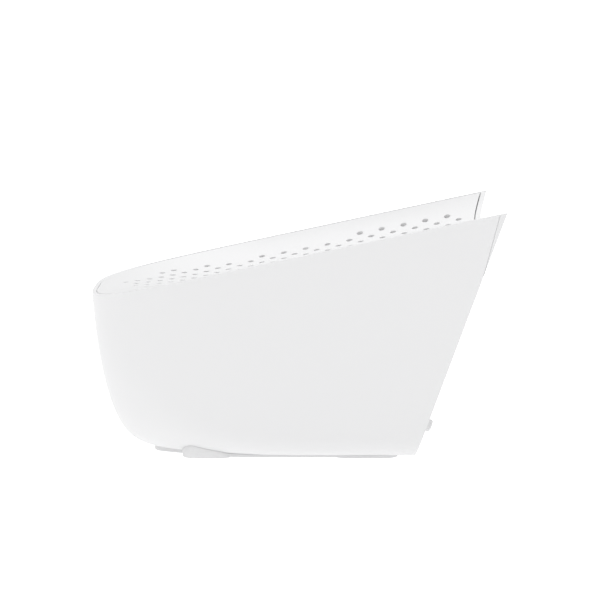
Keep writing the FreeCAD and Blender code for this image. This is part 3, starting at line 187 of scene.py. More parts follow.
def casing_rows(columns, wall_rows, round_rows, inset=0.0):
    """The casing's form as rows of points, from the rim down to the flat bottom, in millimetres."""
    keel_half = HALF_WIDTH - SIDE_ROUND - SIDE_DRAFT * HEIGHT / 2
    width, station = plan_outline(0, NOSE_LENGTH, HALF_WIDTH, SIDE_POWER, NOSE_POWER, TAPER, columns)
    keel_width, keel_station = plan_outline(
        KEEL_SETBACK, KEEL_NOSE, keel_half, KEEL_POWER, KEEL_POWER, 0, columns)
    front = (1 - station / (0.9 * NOSE_LENGTH)).clip(0) ** 3
    top = rim_height(station)
    room = top - HULL_BOTTOM
    radius = np.minimum(SIDE_ROUND * (1 - front) + FRONT_ROUND * front, 0.985 * room)
    power = 1 - front + FRONT_ROUND_POWER * front
    back = (SIDE_DRAFT * (1 - front) + FRONT_DRAFT * front) * np.sqrt(front)
    lean_in = SIDE_DRAFT * width / HALF_WIDTH
    rows = []
    for row in range(wall_rows + round_rows):
        if row < wall_rows:
            share = row / wall_rows
            height = top * (1 - share) + (HULL_BOTTOM + radius) * share
            sunk = np.zeros_like(height)
        else:
            turn = (row - wall_rows) / (round_rows - 1) * math.pi / 2
            height = HULL_BOTTOM + radius * (1 - math.sin(turn))
            sunk = 1 - max(0.0, math.cos(turn)) ** power
        fall = top - height
        x = width - lean_in * fall + sunk * (keel_width - width + lean_in * room)
        y = station + back * fall + sunk * (keel_station - station - back * room) - LENGTH / 2
        right = np.stack([x, y, height], -1)
        rows.append(np.concatenate([(right * (-1, 1, 1))[:0:-1], right]))
    rows = np.array(rows)
    inwards = np.cross(np.gradient(rows, axis=1), np.gradient(rows, axis=0))
    return rows + inset * inwards / np.linalg.norm(inwards, axis=2)[:, :, None]


def linked(name, mesh):
    """A new object in the scene with the mesh."""
    thing = bpy.data.objects.new(name, mesh)
    bpy.context.scene.collection.objects.link(thing)
    return thing


def mesh_of(name, points, faces):
    """A mesh from points given in millimetres."""
    mesh = bpy.data.meshes.new(name)
    mesh.from_pydata((np.asarray(points, float) * MM).tolist(), [], [list(map(int, face)) for face in faces])
    return mesh


def cells(index):
    """Four-sided faces over a grid of point numbers."""
    corners = [index[:-1, :-1], index[1:, :-1], index[1:, 1:], index[:-1, 1:]]
    return np.stack(corners, -1).reshape(-1, 4).tolist()


def turned_out(mesh):
    """Makes all faces of a closed mesh point outwards."""
    shape = bmesh.new()
    shape.from_mesh(mesh)
    bmesh.ops.recalc_face_normals(shape, faces=shape.faces[:])
    if shape.calc_volume(signed=True) < 0:
        bmesh.ops.reverse_faces(shape, faces=shape.faces[:])
    shape.to_mesh(mesh)
    shape.free()


def settled(thing):
    """Makes the result of a thing's modifiers its own mesh, and takes the modifiers off."""
    seen = thing.evaluated_get(bpy.context.evaluated_depsgraph_get())
    mesh = bpy.data.meshes.new_from_object(seen)
    thing.modifiers.clear()
    thing.data = mesh


def carved(thing, tool, operation="DIFFERENCE"):
    """Cuts a closed tool out of a closed thing, and takes the tool away."""
    change = thing.modifiers.new("carve", "BOOLEAN")
    change.operation = operation
    change.solver = "EXACT"
    change.object = tool
    settled(thing)
    bpy.data.objects.remove(tool)


def smoothed(mesh, degrees):
    """Smooth shading, with each edge that turns more than the angle kept crisp."""
    shape = bmesh.new()
    shape.from_mesh(mesh)
    for face in shape.faces:
        face.smooth = True
    limit = math.radians(degrees)
    for edge in shape.edges:
        edge.smooth = edge.is_manifold and edge.calc_face_angle(0) < limit
    shape.to_mesh(mesh)
    shape.free()


def trimmed(mesh, top_y, lean):
    """Takes away what lies behind a plane that leans back from the rear top corners."""
    shape = bmesh.new()
    shape.from_mesh(mesh)
    bmesh.ops.bisect_plane(
        shape, geom=shape.verts[:] + shape.edges[:] + shape.faces[:], dist=1e-7, clear_outer=True,
        plane_co=(0, top_y * MM, HEIGHT * MM), plane_no=(0, math.cos(lean), -math.sin(lean)))
    shape.to_mesh(mesh)
    shape.free()


def upright_prism(name, corners, radius, low, high):
    """A closed upright prism on a flat outline with rounded corners, in millimetres."""
    outline = []
    for before, corner, after in zip(corners[-1:] + corners[:-1], corners, corners[1:] + corners[:1]):
        back = Vector(before) - Vector(corner)
        on = Vector(after) - Vector(corner)
        setback = radius / math.tan(back.angle(on) / 2)
        first = Vector(corner) + back.normalized() * setback
        last = Vector(corner) + on.normalized() * setback
        for step in range(9):
            share = step / 8
            bend = Vector(corner) * 2 * share * (1 - share)
            outline.append(first * (1 - share) ** 2 + bend + last * share ** 2)
    count = len(outline)
    points = [(p.x, p.y, z) for z in (low, high) for p in outline]
    faces = [[n, (n + 1) % count, (n + 1) % count + count, n + count] for n in range(count)]
    faces += [list(range(count))[::-1], list(range(count, 2 * count))]
    mesh = mesh_of(name, points, faces)
    turned_out(mesh)
    return mesh


rear_top = LENGTH / 2
shell_rows = casing_rows(SHELL_COLUMNS, WALL_ROWS, ROUND_ROWS)
shell_index = np.arange(shell_rows.shape[0] * shell_rows.shape[1]).reshape(shell_rows.shape[:2])
shell_faces = cells(shell_index)
bottom_line = shell_index[-1]
for n in range(len(bottom_line) // 2):
    quad = [bottom_line[n], bottom_line[n + 1], bottom_line[-2 - n], bottom_line[-1 - n]]
    shell_faces.append(list(dict.fromkeys(quad)))
shell_mesh = mesh_of("outer_shell_skin", shell_rows.reshape(-1, 3), shell_faces)
shape = bmesh.new()
shape.from_mesh(shell_mesh)
bmesh.ops.recalc_face_normals(shape, faces=shape.faces[:])
shape.faces.ensure_lookup_table()
lowest = min(shape.faces, key=lambda face: face.calc_center_median().z)
if lowest.normal.z > 0:
    bmesh.ops.reverse_faces(shape, faces=shape.faces[:])
shape.to_mesh(shell_mesh)
shape.free()
band_lean = math.atan((BAND_HEIGHT * math.tan(REAR_LEAN) - BAND_WIDTH) / BAND_HEIGHT)
trimmed(shell_mesh, rear_top, REAR_LEAN)
trimmed(shell_mesh, rear_top - BAND_WIDTH - BAND_GAP, band_lean)
shell = linked("outer_shell_skin", shell_mesh)
thick = shell.modifiers.new("wall", "SOLIDIFY")
thick.thickness = WALL * MM
thick.offset = -1
thick.use_even_offset = True
settled(shell)
PLATE_SIDE_MARGIN, PLATE_NOSE_MARGIN, CORNER_SHARE = 12.2, 29.0, 0.7
PLATE_FRONT, PLATE_SHOULDER, PLATE_REAR = -63.6, -30.0, 42.0
OPENING_MARGIN, OPENING_CORNER, OPENING_LOW, OPENING_HIGH = 8.0, 6.0, 0.5, 6.0
opening_wide = HALF_WIDTH - PLATE_SIDE_MARGIN - OPENING_MARGIN
opening_narrow = HALF_WIDTH - PLATE_NOSE_MARGIN - CORNER_SHARE * OPENING_MARGIN
opening = upright_prism(
    "base_opening",
    [(-opening_narrow, PLATE_FRONT + OPENING_MARGIN), (opening_narrow, PLATE_FRONT + OPENING_MARGIN),
     (opening_wide, PLATE_SHOULDER), (opening_wide, PLATE_REAR - OPENING_MARGIN),
     (-opening_wide, PLATE_REAR - OPENING_MARGIN), (-opening_wide, PLATE_SHOULDER)],
    OPENING_CORNER, OPENING_LOW, OPENING_HIGH)
carved(shell, linked("base_opening", opening))
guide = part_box("light_guide")
guide_radius = (guide[1].x - guide[0].x) / 2 / MM + GUIDE_CLEARANCE
guide_axis = (guide[0].z + guide[1].z) / 2 / MM
turns = 32
ring = [(guide_radius * math.cos(a), guide_axis + guide_radius * math.sin(a))
        for a in np.linspace(0, 2 * math.pi, turns, endpoint=False)]
drill_points = [(x, y, z) for y in (-LENGTH / 2, -LENGTH / 4) for x, z in ring]
drill_faces = [[n, (n + 1) % turns, (n + 1) % turns + turns, n + turns] for n in range(turns)]
drill_faces += [list(range(turns)), list(range(turns, 2 * turns))[::-1]]
drill_mesh = mesh_of("light_hole", drill_points, drill_faces)
turned_out(drill_mesh)
carved(shell, linked("light_hole", drill_mesh))
lip = shell.modifiers.new("lip_round", "BEVEL")
lip.width = LIP_ROUND * MM
lip.segments = 3
lip.limit_method = "ANGLE"
lip.angle_limit = math.radians(50)
settled(shell)
smoothed(shell.data, 40)


def moulded_skin_group():
    """Colour, roughness and height of a moulded surface: grain, faint clouding, and a painted highlight with
    lower roughness on convex edges.
    """
    tree = bpy.data.node_groups.new("moulded_skin", "ShaderNodeTree")
    inlets = [("Color", "NodeSocketColor", (0.8, 0.8, 0.8, 1.0)), ("Clouding", "NodeSocketFloat", 0.02),
              ("Roughness", "NodeSocketFloat", 0.45), ("Roughness Change", "NodeSocketFloat", 0.06),
              ("Grain Size", "NodeSocketFloat", 0.0004), ("Edge Highlight And Polish", "NodeSocketFloat", 0.3)]
    for name, kind, value in inlets:
        tree.interface.new_socket(name, in_out="INPUT", socket_type=kind).default_value = value
    outlets = [("Color", "NodeSocketColor"), ("Roughness", "NodeSocketFloat"), ("Height", "NodeSocketFloat")]
    for name, kind in outlets:
        tree.interface.new_socket(name, in_out="OUTPUT", socket_type=kind)
    entry = tree.nodes.new("NodeGroupInput")
    leave = tree.nodes.new("NodeGroupOutput")
    place = tree.nodes.new("ShaderNodeTexCoord").outputs["Object"]
    fineness = math_node(tree, "DIVIDE", 1.0, entry.outputs["Grain Size"])
    grain = tree.nodes.new("ShaderNodeTexNoise")
    grain.inputs["Detail"].default_value = 3.0
    tree.links.new(place, grain.inputs["Vector"])
    tree.links.new(fineness, grain.inputs["Scale"])
    pores = tree.nodes.new("ShaderNodeTexVoronoi")
    tree.links.new(place, pores.inputs["Vector"])
    tree.links.new(fineness, pores.inputs["Scale"])
    clouds = tree.nodes.new("ShaderNodeTexNoise")
    clouds.inputs["Scale"].default_value = 22.0
    clouds.inputs["Detail"].default_value = 4.0
    tree.links.new(place, clouds.inputs["Vector"])
    corner = tree.nodes.new("ShaderNodeNewGeometry").outputs["Pointiness"]
    ramp = tree.nodes.new("ShaderNodeMapRange")
    ramp.inputs["From Min"].default_value = 0.53
    ramp.inputs["From Max"].default_value = 0.62
    tree.links.new(corner, ramp.inputs["Value"])
    # Convex edges, found by pointiness, get a painted highlight (colour up to 6% lighter) and a lower
    # roughness.
    edge_highlight_and_polish = math_node(tree, "MULTIPLY", ramp.outputs[0], entry.outputs["Edge Highlight And Polish"])
    offset = math_node(tree, "SUBTRACT", clouds.outputs["Fac"], 0.5)
    shade = math_node(tree, "MULTIPLY_ADD", offset, entry.outputs["Clouding"], 1.0)
    lit = math_node(tree, "MULTIPLY_ADD", edge_highlight_and_polish, 0.06, shade)
    tint = tree.nodes.new("ShaderNodeVectorMath")
    tint.operation = "SCALE"
    tree.links.new(entry.outputs["Color"], tint.inputs[0])
    tree.links.new(lit, tint.inputs["Scale"])
    tree.links.new(tint.outputs[0], leave.inputs["Color"])
    change, middle = entry.outputs["Roughness Change"], entry.outputs["Roughness"]
    rough = math_node(tree, "MULTIPLY_ADD", offset, change, middle)
    polished = math_node(tree, "MULTIPLY_ADD", edge_highlight_and_polish, -0.12, rough)
    tree.links.new(math_node(tree, "MAXIMUM", polished, 0.05), leave.inputs["Roughness"])
    pitted = math_node(tree, "MULTIPLY_ADD", pores.outputs["Distance"], 0.5, grain.outputs["Fac"])
    tree.links.new(pitted, leave.inputs["Height"])
    return tree


moulded_skin = moulded_skin_group()


def finish(name, color, roughness, grain, depth, clouding=0.02, change=0.06, edge_highlight_and_polish=0.3, metallic=0.0,
           coat=0.0, specular=0.5):
    """A material whose colour, roughness and relief come from the shared moulded skin."""
    material = bpy.data.materials.new(name)
    material.use_nodes = True
    tree = material.node_tree
    shader = tree.nodes["Principled BSDF"]
    shader.inputs["Metallic"].default_value = metallic
    shader.inputs["Specular IOR Level"].default_value = specular
    if coat:
        shader.inputs["Coat Weight"].default_value = coat
        shader.inputs["Coat Roughness"].default_value = 0.15
    skin = tree.nodes.new("ShaderNodeGroup")
    skin.name = "skin"
    skin.node_tree = moulded_skin
    # The edge value sets how strong the painted highlight and the lower roughness on convex edges are.
    values = {"Color": (*color, 1.0), "Clouding": clouding, "Roughness": roughness,
              "Roughness Change": change, "Grain Size": grain, "Edge Highlight And Polish": edge_highlight_and_polish}
    for socket, value in values.items():
        skin.inputs[socket].default_value = value
    relief = tree.nodes.new("ShaderNodeBump")
    relief.name = "relief"
    relief.inputs["Distance"].default_value = depth
    relief.inputs["Strength"].default_value = 0.6
    tree.links.new(skin.outputs["Color"], shader.inputs["Base Color"])
    tree.links.new(skin.outputs["Roughness"], shader.inputs["Roughness"])
    tree.links.new(skin.outputs["Height"], relief.inputs["Height"])
    tree.links.new(relief.outputs["Normal"], shader.inputs["Normal"])
    return material


casing_white = finish("casing_white", (0.755, 0.755, 0.76), 0.42, 0.00035, 0.00001, clouding=0.012)


def wear_skin(thing, material):
    """Gives a piece one material all over."""
    thing.data.materials.clear()
    thing.data.materials.append(material)
    for face in thing.data.polygons:
        face.material_index = 0


wear_skin(shell, casing_white)
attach(shell, "casing")
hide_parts("outer_shell")


# --- Top cover -----------------------------------------------------------------------------
# The vented top: a separate white moulding that sinks between the walls as a shallow trough.
# It has staggered round vents with a small moulded round on each edge, in a field with a round
# front, and it is clipped in a hair's breadth inside and below the lip.

COVER_THICKNESS, COVER_DROP, COVER_GAP = 1.8, 0.2, 0.2
TROUGH_DEPTH, TROUGH_DEEPENING, TROUGH_RUN_IN, TROUGH_POWER = 7.5, 0.024, 33.0, 5.8
TROUGH_RAMP_START, TROUGH_RAMP_LENGTH, TROUGH_NOSE_ROOM = 25.0, 65.0, 8.0
VENT_PITCH, VENT_RADIUS, VENT_ROUND = 5.2, 1.4, 0.28
VENT_FIELD_START, VENT_FIELD_LENGTH, VENT_FRONT_SLOPE = 9.0, 150.0, 1.45
VENT_LAST = LENGTH / 2 - 19.6
VENT_HALF_FIELD = HALF_WIDTH - 10.7
VENT_NOSE_POWER, VENT_SIDE_POWER = 1.9, 3.0
COVER_TIP_HALF, NOSE_STEPS, EDGE_COLUMNS, CROSS_COLUMNS = 14.0, 150, 300, 111
PANEL_THICKNESS, REAR_SEAM = 2.2, 0.5
TRIM_HALF, TRIM_DEPTH, TRIM_REACH = 90, 40, 200


def inner_half_width(station):
    """Half the width between the casing's inner walls at the rim."""
    share = np.minimum(1.0, station / NOSE_LENGTH)
    width = HALF_WIDTH * (1 - (1 - share) ** NOSE_POWER) ** (1 / SIDE_POWER)
    return width - TAPER * (LENGTH - station) * width / HALF_WIDTH - WALL


def trough_height(x, y):
    """The height of the cover's upper face: a trough that deepens and squares up rearwards."""
    station = y + LENGTH / 2
    run_in = 1 - np.exp(-(station.clip(0) / TROUGH_RUN_IN) ** 2)
    depth = (TROUGH_DEPTH + TROUGH_DEEPENING * station) * run_in
    ramp = ((station - TROUGH_RAMP_START) / TROUGH_RAMP_LENGTH).clip(0, 1)
    power = 2 + (TROUGH_POWER - 2) * ramp * ramp * (3 - 2 * ramp)
    share = np.abs(x) / inner_half_width(station.clip(TROUGH_NOSE_ROOM))
    return np.minimum(rim_height(station) - depth * (1 - share ** power), rim_height(station) - COVER_DROP)


cover_edge = casing_rows(EDGE_COLUMNS, WALL_ROWS, ROUND_ROWS, WALL + COVER_GAP)[0]
cover_edge = cover_edge[cover_edge[:, 0] > COVER_TIP_HALF]
cover_edge = np.concatenate([cover_edge[:NOSE_STEPS], cover_edge[NOSE_STEPS::2]])
crowding = math.pi / 2 * 0.93
across = np.sin(np.linspace(-crowding, crowding, CROSS_COLUMNS)) / math.sin(crowding)
x = cover_edge[:, 0][:, None] * across[None, :]
y = np.repeat(cover_edge[:, 1][:, None], len(across), axis=1)
upper = np.stack([x, y, trough_height(x, y)], -1)
lower = upper - (0, 0, COVER_THICKNESS)
count, wide = x.shape
upper_index = np.arange(count * wide).reshape(count, wide)
lower_index = upper_index + count * wide
around = np.concatenate([upper_index[0, :-1], upper_index[:-1, -1],
                         upper_index[-1, :0:-1], upper_index[:0:-1, 0]])
skirt = [[a, b, b + count * wide, a + count * wide] for a, b in zip(around, np.roll(around, -1))]
cover_mesh = mesh_of("top_cover_skin", np.concatenate([upper.reshape(-1, 3), lower.reshape(-1, 3)]),
                     cells(upper_index) + [face[::-1] for face in cells(lower_index)] + skirt)
turned_out(cover_mesh)
cover = linked("top_cover_skin", cover_mesh)


def vent_drill_mesh():
    """One upright drill that widens at the top with the vent's rounded edge."""
    turns = 28
    profile = [(VENT_RADIUS, -2.0 * COVER_THICKNESS), (VENT_RADIUS, -VENT_ROUND)]
    profile += [(VENT_RADIUS + VENT_ROUND * (1 - math.cos(a)), VENT_ROUND * (math.sin(a) - 1))
                for a in (math.pi / 8, math.pi / 4, 3 * math.pi / 8)]
    profile += [(VENT_RADIUS + VENT_ROUND, 0.02), (VENT_RADIUS + VENT_ROUND, 1.0)]
    points = [(r * math.cos(2 * math.pi * n / turns), r * math.sin(2 * math.pi * n / turns), z)
              for r, z in profile for n in range(turns)]
    faces = [[row * turns + n, row * turns + (n + 1) % turns, (row + 1) * turns + (n + 1) % turns,
              (row + 1) * turns + n] for row in range(len(profile) - 1) for n in range(turns)]
    faces += [list(range(turns))[::-1], [(len(profile) - 1) * turns + n for n in range(turns)]]
    mesh = mesh_of("vent_drill", points, faces)
    turned_out(mesh)
    return mesh


def vent_tree():
    """Geometry nodes that set the drill out on the staggered grid, inside a field with a round front."""
    tree = bpy.data.node_groups.new("staggered_vents", "GeometryNodeTree")
    tree.interface.new_socket("Drill", in_out="INPUT", socket_type="NodeSocketGeometry")
    for name in ("Pitch", "Nose", "Last", "Field Start", "Field Length", "Front Slope", "Half Field"):
        tree.interface.new_socket(name, in_out="INPUT", socket_type="NodeSocketFloat")
    tree.interface.new_socket("Skin", in_out="INPUT", socket_type="NodeSocketMaterial")
    tree.interface.new_socket("Drills", in_out="OUTPUT", socket_type="NodeSocketGeometry")
    entry = tree.nodes.new("NodeGroupInput")
    leave = tree.nodes.new("NodeGroupOutput")
    pitch, nose, last = (entry.outputs[name] for name in ("Pitch", "Nose", "Last"))
    half_columns = math_node(tree, "CEIL", math_node(tree, "DIVIDE", entry.outputs["Half Field"], pitch))
    columns = math_node(tree, "MULTIPLY", half_columns, 2.0)
    run = math_node(tree, "SUBTRACT", last, nose)
    rows = math_node(tree, "ADD", math_node(tree, "CEIL", math_node(tree, "DIVIDE", run, pitch)), 2.0)
    grid = tree.nodes.new("GeometryNodeMeshGrid")
    wide = math_node(tree, "MULTIPLY", math_node(tree, "SUBTRACT", columns, 1.0), pitch)
    tree.links.new(wide, grid.inputs["Size X"])
    long = math_node(tree, "MULTIPLY", math_node(tree, "SUBTRACT", rows, 1.0), pitch)
    tree.links.new(long, grid.inputs["Size Y"])
    tree.links.new(columns, grid.inputs["Vertices X"])
    tree.links.new(rows, grid.inputs["Vertices Y"])
    rear_row = math_node(tree, "ADD", last, pitch)
    shift = tree.nodes.new("ShaderNodeCombineXYZ")
    middle = math_node(tree, "SUBTRACT", rear_row, math_node(tree, "MULTIPLY", long, 0.5))
    tree.links.new(middle, shift.inputs["Y"])
    move = tree.nodes.new("GeometryNodeTransform")
    tree.links.new(grid.outputs["Mesh"], move.inputs["Geometry"])
    tree.links.new(shift.outputs[0], move.inputs["Translation"])
    place = tree.nodes.new("ShaderNodeSeparateXYZ")
    tree.links.new(tree.nodes.new("GeometryNodeInputPosition").outputs[0], place.inputs[0])
    column = math_node(tree, "FLOOR", math_node(tree, "DIVIDE", place.outputs["X"], pitch))
    ahead = math_node(tree, "SUBTRACT", last, place.outputs["Y"])
    row = math_node(tree, "ROUND", math_node(tree, "DIVIDE", ahead, pitch))
    odd = math_node(tree, "FLOORED_MODULO", math_node(tree, "ADD", column, row), 2.0)
    even = math_node(tree, "LESS_THAN", odd, 0.5)
    station = math_node(tree, "SUBTRACT", place.outputs["Y"], nose)
    share = math_node(tree, "DIVIDE", station, entry.outputs["Field Length"])
    rest = math_node(tree, "SUBTRACT", 1.0, math_node(tree, "MINIMUM", share, 1.0))
    bulge = math_node(tree, "SUBTRACT", 1.0, math_node(tree, "POWER", rest, VENT_NOSE_POWER))
    swell = math_node(tree, "POWER", bulge, 1 / VENT_SIDE_POWER)
    side = math_node(tree, "MULTIPLY", entry.outputs["Half Field"], swell)
    run_in = math_node(tree, "SUBTRACT", station, entry.outputs["Field Start"])
    front = math_node(tree, "MULTIPLY", run_in, entry.outputs["Front Slope"])
    inside = math_node(tree, "LESS_THAN", math_node(tree, "ABSOLUTE", place.outputs["X"]),
                       math_node(tree, "MINIMUM", side, front))
    chosen = math_node(tree, "MULTIPLY", even, inside)
    spread = tree.nodes.new("GeometryNodeInstanceOnPoints")
    tree.links.new(move.outputs[0], spread.inputs["Points"])
    tree.links.new(chosen, spread.inputs["Selection"])
    tree.links.new(entry.outputs["Drill"], spread.inputs["Instance"])
    real = tree.nodes.new("GeometryNodeRealizeInstances")
    tree.links.new(spread.outputs[0], real.inputs[0])
    dress = tree.nodes.new("GeometryNodeSetMaterial")
    tree.links.new(real.outputs[0], dress.inputs["Geometry"])
    tree.links.new(entry.outputs["Skin"], dress.inputs["Material"])
    tree.links.new(dress.outputs[0], leave.inputs[0])
    return tree


def grown(thing, tree, values):
    """Runs a geometry node tree on a thing with the named inputs, and keeps the plain mesh."""
    growth = thing.modifiers.new("growth", "NODES")
    growth.node_group = tree
    for item in tree.interface.items_tree:
        if item.in_out == "INPUT" and item.name in values:
            growth[item.identifier] = values[item.name]
    settled(thing)


drills = linked("vent_drills", vent_drill_mesh())
grown(drills, vent_tree(), {
    "Pitch": VENT_PITCH * MM, "Nose": -LENGTH / 2 * MM, "Last": VENT_LAST * MM,
    "Field Start": VENT_FIELD_START * MM, "Field Length": VENT_FIELD_LENGTH * MM,
    "Front Slope": VENT_FRONT_SLOPE, "Half Field": VENT_HALF_FIELD * MM, "Skin": casing_white})
spots = np.empty(len(drills.data.vertices) * 3)
drills.data.vertices.foreach_get("co", spots)
spots = spots.reshape(-1, 3)
spots[:, 2] += trough_height(spots[:, 0] / MM, spots[:, 1] / MM) * MM
drills.data.vertices.foreach_set("co", spots.ravel())
rear_trim = linked("cover_rear_trim", upright_prism(
    "cover_rear_trim", [(-TRIM_HALF, -TRIM_DEPTH), (TRIM_HALF, -TRIM_DEPTH),
                        (TRIM_HALF, TRIM_DEPTH), (-TRIM_HALF, TRIM_DEPTH)],
    1.0, -TRIM_REACH, TRIM_REACH))
trim_y = rear_top - (PANEL_THICKNESS + REAR_SEAM) / math.cos(REAR_LEAN)
for vertex in rear_trim.data.vertices:
    deep = vertex.co.y + TRIM_DEPTH * MM
    fall = vertex.co.z
    vertex.co.y = trim_y * MM + deep * math.cos(REAR_LEAN) + fall * math.sin(REAR_LEAN)
    vertex.co.z = HEIGHT * MM - deep * math.sin(REAR_LEAN) + fall * math.cos(REAR_LEAN)
carved(cover, rear_trim)
carved(cover, drills)
smoothed(cover.data, 50)
wear_skin(cover, casing_white)
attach(cover, "casing")
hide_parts("top_cover")


# --- Rear panel ----------------------------------------------------------------------------
# The leaning rear face with the port bay, and a narrow band on each side that closes the wall's
# end, in the same white ABS as the shell. Each edge has the small round that a mould leaves.

BODY_OF = {node: body for body, group in frame["record"]["behaviour"]["bodies"].items() for node in group}


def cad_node(node):
    """The frame's own object for a node."""
    return frame["nodes"][node]


def softened(node, width, limit=35, segments=2):
    """A cleaned copy of a node's form with its edges rounded."""
    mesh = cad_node(node).data.copy()
    shape = bmesh.new()
    shape.from_mesh(mesh)
    bmesh.ops.remove_doubles(shape, verts=shape.verts[:], dist=1e-6)
    bmesh.ops.dissolve_limit(shape, angle_limit=math.radians(0.2), verts=shape.verts[:], edges=shape.edges[:])
    shape.to_mesh(mesh)
    shape.free()
    thing = linked(f"{node}_finished", mesh)
    edge = thing.modifiers.new("edge_round", "BEVEL")
    edge.width = width * MM
    edge.segments = segments
    edge.limit_method = "ANGLE"
    edge.angle_limit = math.radians(limit)
    edge.use_clamp_overlap = True
    settled(thing)
    smoothed(thing.data, limit)
    return thing


def fitted(node, width, material, limit=35):
    """A node's finished piece: softened, in its material, and riding where the node rides."""
    thing = softened(node, width, limit)
    wear_skin(thing, material)
    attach(thing, BODY_OF[node])
    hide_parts(node)
    return thing


def dressed(node, material):
    """A node that keeps its form and gets a finished material."""
    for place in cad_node(node).material_slots:
        place.material = material


fitted("rear_panel", 0.3, casing_white)


# --- Base plate and foot pads --------------------------------------------------------------
# The white base plate carries four foot blocks, the board's standoffs and a row of air slots.
# A thin grey rubber pad is glued into a shallow recess under each foot, over a case screw.

# The same white plastic as the casing, made a little darker: painted shade for the shadow that the plate's
# edge lies in under the casing.
base_white_painted_shade = finish("base_white_painted_shade", (0.74, 0.74, 0.745), 0.5, 0.0004, 0.000012, clouding=0.02)
fitted("base_plate", 0.35, base_white_painted_shade)
pad_rubber = finish("pad_rubber", (0.16, 0.16, 0.165), 0.82, 0.0006, 0.00003,
                    clouding=0.12, edge_highlight_and_polish=0.1, specular=0.3)
for end in ("front", "rear"):
    for side in ("left", "right"):
        fitted(f"foot_pad_{end}_{side}", 0.15, pad_rubber)


# --- Pairing, power and reset keys ----------------------------------------------------------
# Two round white caps with a crowned face, each on a small dark post that presses a switch on
# its own little board. The reset switch stands on the main board behind a pinhole.

key_white = finish("key_white", (0.74, 0.74, 0.745), 0.36, 0.0003, 0.000008, clouding=0.012)
switch_black = finish("switch_black", (0.022, 0.022, 0.024), 0.5, 0.0004, 0.00001, clouding=0.1)
plunger_grey = finish("plunger_grey", (0.12, 0.12, 0.125), 0.45, 0.0003, 0.000008, clouding=0.08)
for cap in ("pair_button", "power_button"):
    fitted(cap, 0.12, key_white, 30)
for part in ("pair_actuator", "power_actuator", "reset_plunger"):
    fitted(part, 0.15, plunger_grey)
for part in ("pair_switch", "power_switch", "reset_switch"):
    fitted(part, 0.18, switch_black)


# --- Circuit boards and antennas ------------------------------------------------------------
# Glass-fibre laminate under a glossy green solder mask, with fine copper tracks that run in
# straight bundles and change direction from field to field. The four antennas are narrow
# strips of the same laminate, which slide into rails inside the side walls.

def board_mask():
    """Solder mask over copper tracks: pale lines in bundles along X or along Y, and round vias."""
    material = finish("board_mask", (0.012, 0.10, 0.045), 0.3, 0.0005, 0.000004, clouding=0.2, coat=0.4)
    tree = material.node_tree
    place = tree.nodes.new("ShaderNodeTexCoord").outputs["Object"]
    fields = tree.nodes.new("ShaderNodeTexVoronoi")
    fields.distance = "CHEBYCHEV"
    fields.inputs["Scale"].default_value = 110.0
    tree.links.new(place, fields.inputs["Vector"])
    parts = tree.nodes.new("ShaderNodeSeparateXYZ")
    tree.links.new(place, parts.inputs[0])
    chance = tree.nodes.new("ShaderNodeSeparateColor")
    tree.links.new(fields.outputs["Color"], chance.inputs[0])
    lines = []
    for axis in ("X", "Y"):
        steps = math_node(tree, "FRACT", math_node(tree, "MULTIPLY", parts.outputs[axis], 1600.0))
        lines.append(math_node(tree, "LESS_THAN", steps, 0.42))
    turned = math_node(tree, "LESS_THAN", chance.outputs[0], 0.5)
    other = math_node(tree, "SUBTRACT", 1.0, turned)
    bundle = math_node(tree, "ADD", math_node(tree, "MULTIPLY", turned, lines[0]),
                       math_node(tree, "MULTIPLY", other, lines[1]))
    laid = math_node(tree, "MULTIPLY", bundle, math_node(tree, "LESS_THAN", chance.outputs[1], 0.62))
    vias = tree.nodes.new("ShaderNodeTexVoronoi")
    vias.inputs["Scale"].default_value = 420.0
    tree.links.new(place, vias.inputs["Vector"])
    dots = math_node(tree, "LESS_THAN", vias.outputs["Distance"], 0.16)
    copper = math_node(tree, "MAXIMUM", laid, dots)
    mix = tree.nodes.new("ShaderNodeMix")
    mix.data_type = "RGBA"
    skin = tree.nodes["skin"]
    tree.links.new(math_node(tree, "MULTIPLY", copper, 0.55), mix.inputs["Factor"])
    tree.links.new(skin.outputs["Color"], mix.inputs["A"])
    mix.inputs["B"].default_value = (0.06, 0.30, 0.12, 1.0)
    tree.links.new(mix.outputs["Result"], tree.nodes["Principled BSDF"].inputs["Base Color"])
    height = math_node(tree, "MULTIPLY_ADD", copper, 2.5, skin.outputs["Height"])
    tree.links.new(height, tree.nodes["relief"].inputs["Height"])
    return material


mask_green = board_mask()
for board in ("main_board", "pair_switch_board", "power_switch_board"):
    fitted(board, 0.08, mask_green)
for side in ("left", "right"):
    for end in ("front", "rear"):
        fitted(f"antenna_{side}_{end}", 0.06, mask_green)


# --- Network sockets and power inlet --------------------------------------------------------
# Four black moulded sockets in a row, each in a folded cover of bright tinned sheet with eight
# gold-plated springs, and a round power inlet with a nickel-plated centre pin.

socket_black = finish("socket_black", (0.018, 0.018, 0.02), 0.42, 0.0004, 0.00001, clouding=0.1)
tin_bright = finish("tin_bright", (0.62, 0.62, 0.60), 0.3, 0.0008, 0.000006,
                    clouding=0.1, change=0.2, metallic=1.0)
gold_plate = finish("gold_plate", (0.80, 0.58, 0.22), 0.25, 0.0003, 0.000003, clouding=0.05, metallic=1.0)
nickel_plate = finish("nickel_plate", (0.66, 0.66, 0.65), 0.18, 0.0003, 0.000003, clouding=0.04, metallic=1.0)
for part in ("lan_jack_1", "lan_jack_2", "lan_jack_3", "wan_jack"):
    fitted(part, 0.2, socket_black)
fitted("power_inlet", 0.3, socket_black)
fitted("jack_shields", 0.06, tin_bright)
fitted("jack_contacts", 0.08, gold_plate)
fitted("inlet_pin", 0.35, nickel_plate)


# --- Chips, shields and heat sink -----------------------------------------------------------
# Black epoxy packages soldered to the board, tinned lids over the processor and the radios,
# a soft blue-grey pad below and above the lid, and an extruded aluminium sink held by two screws.

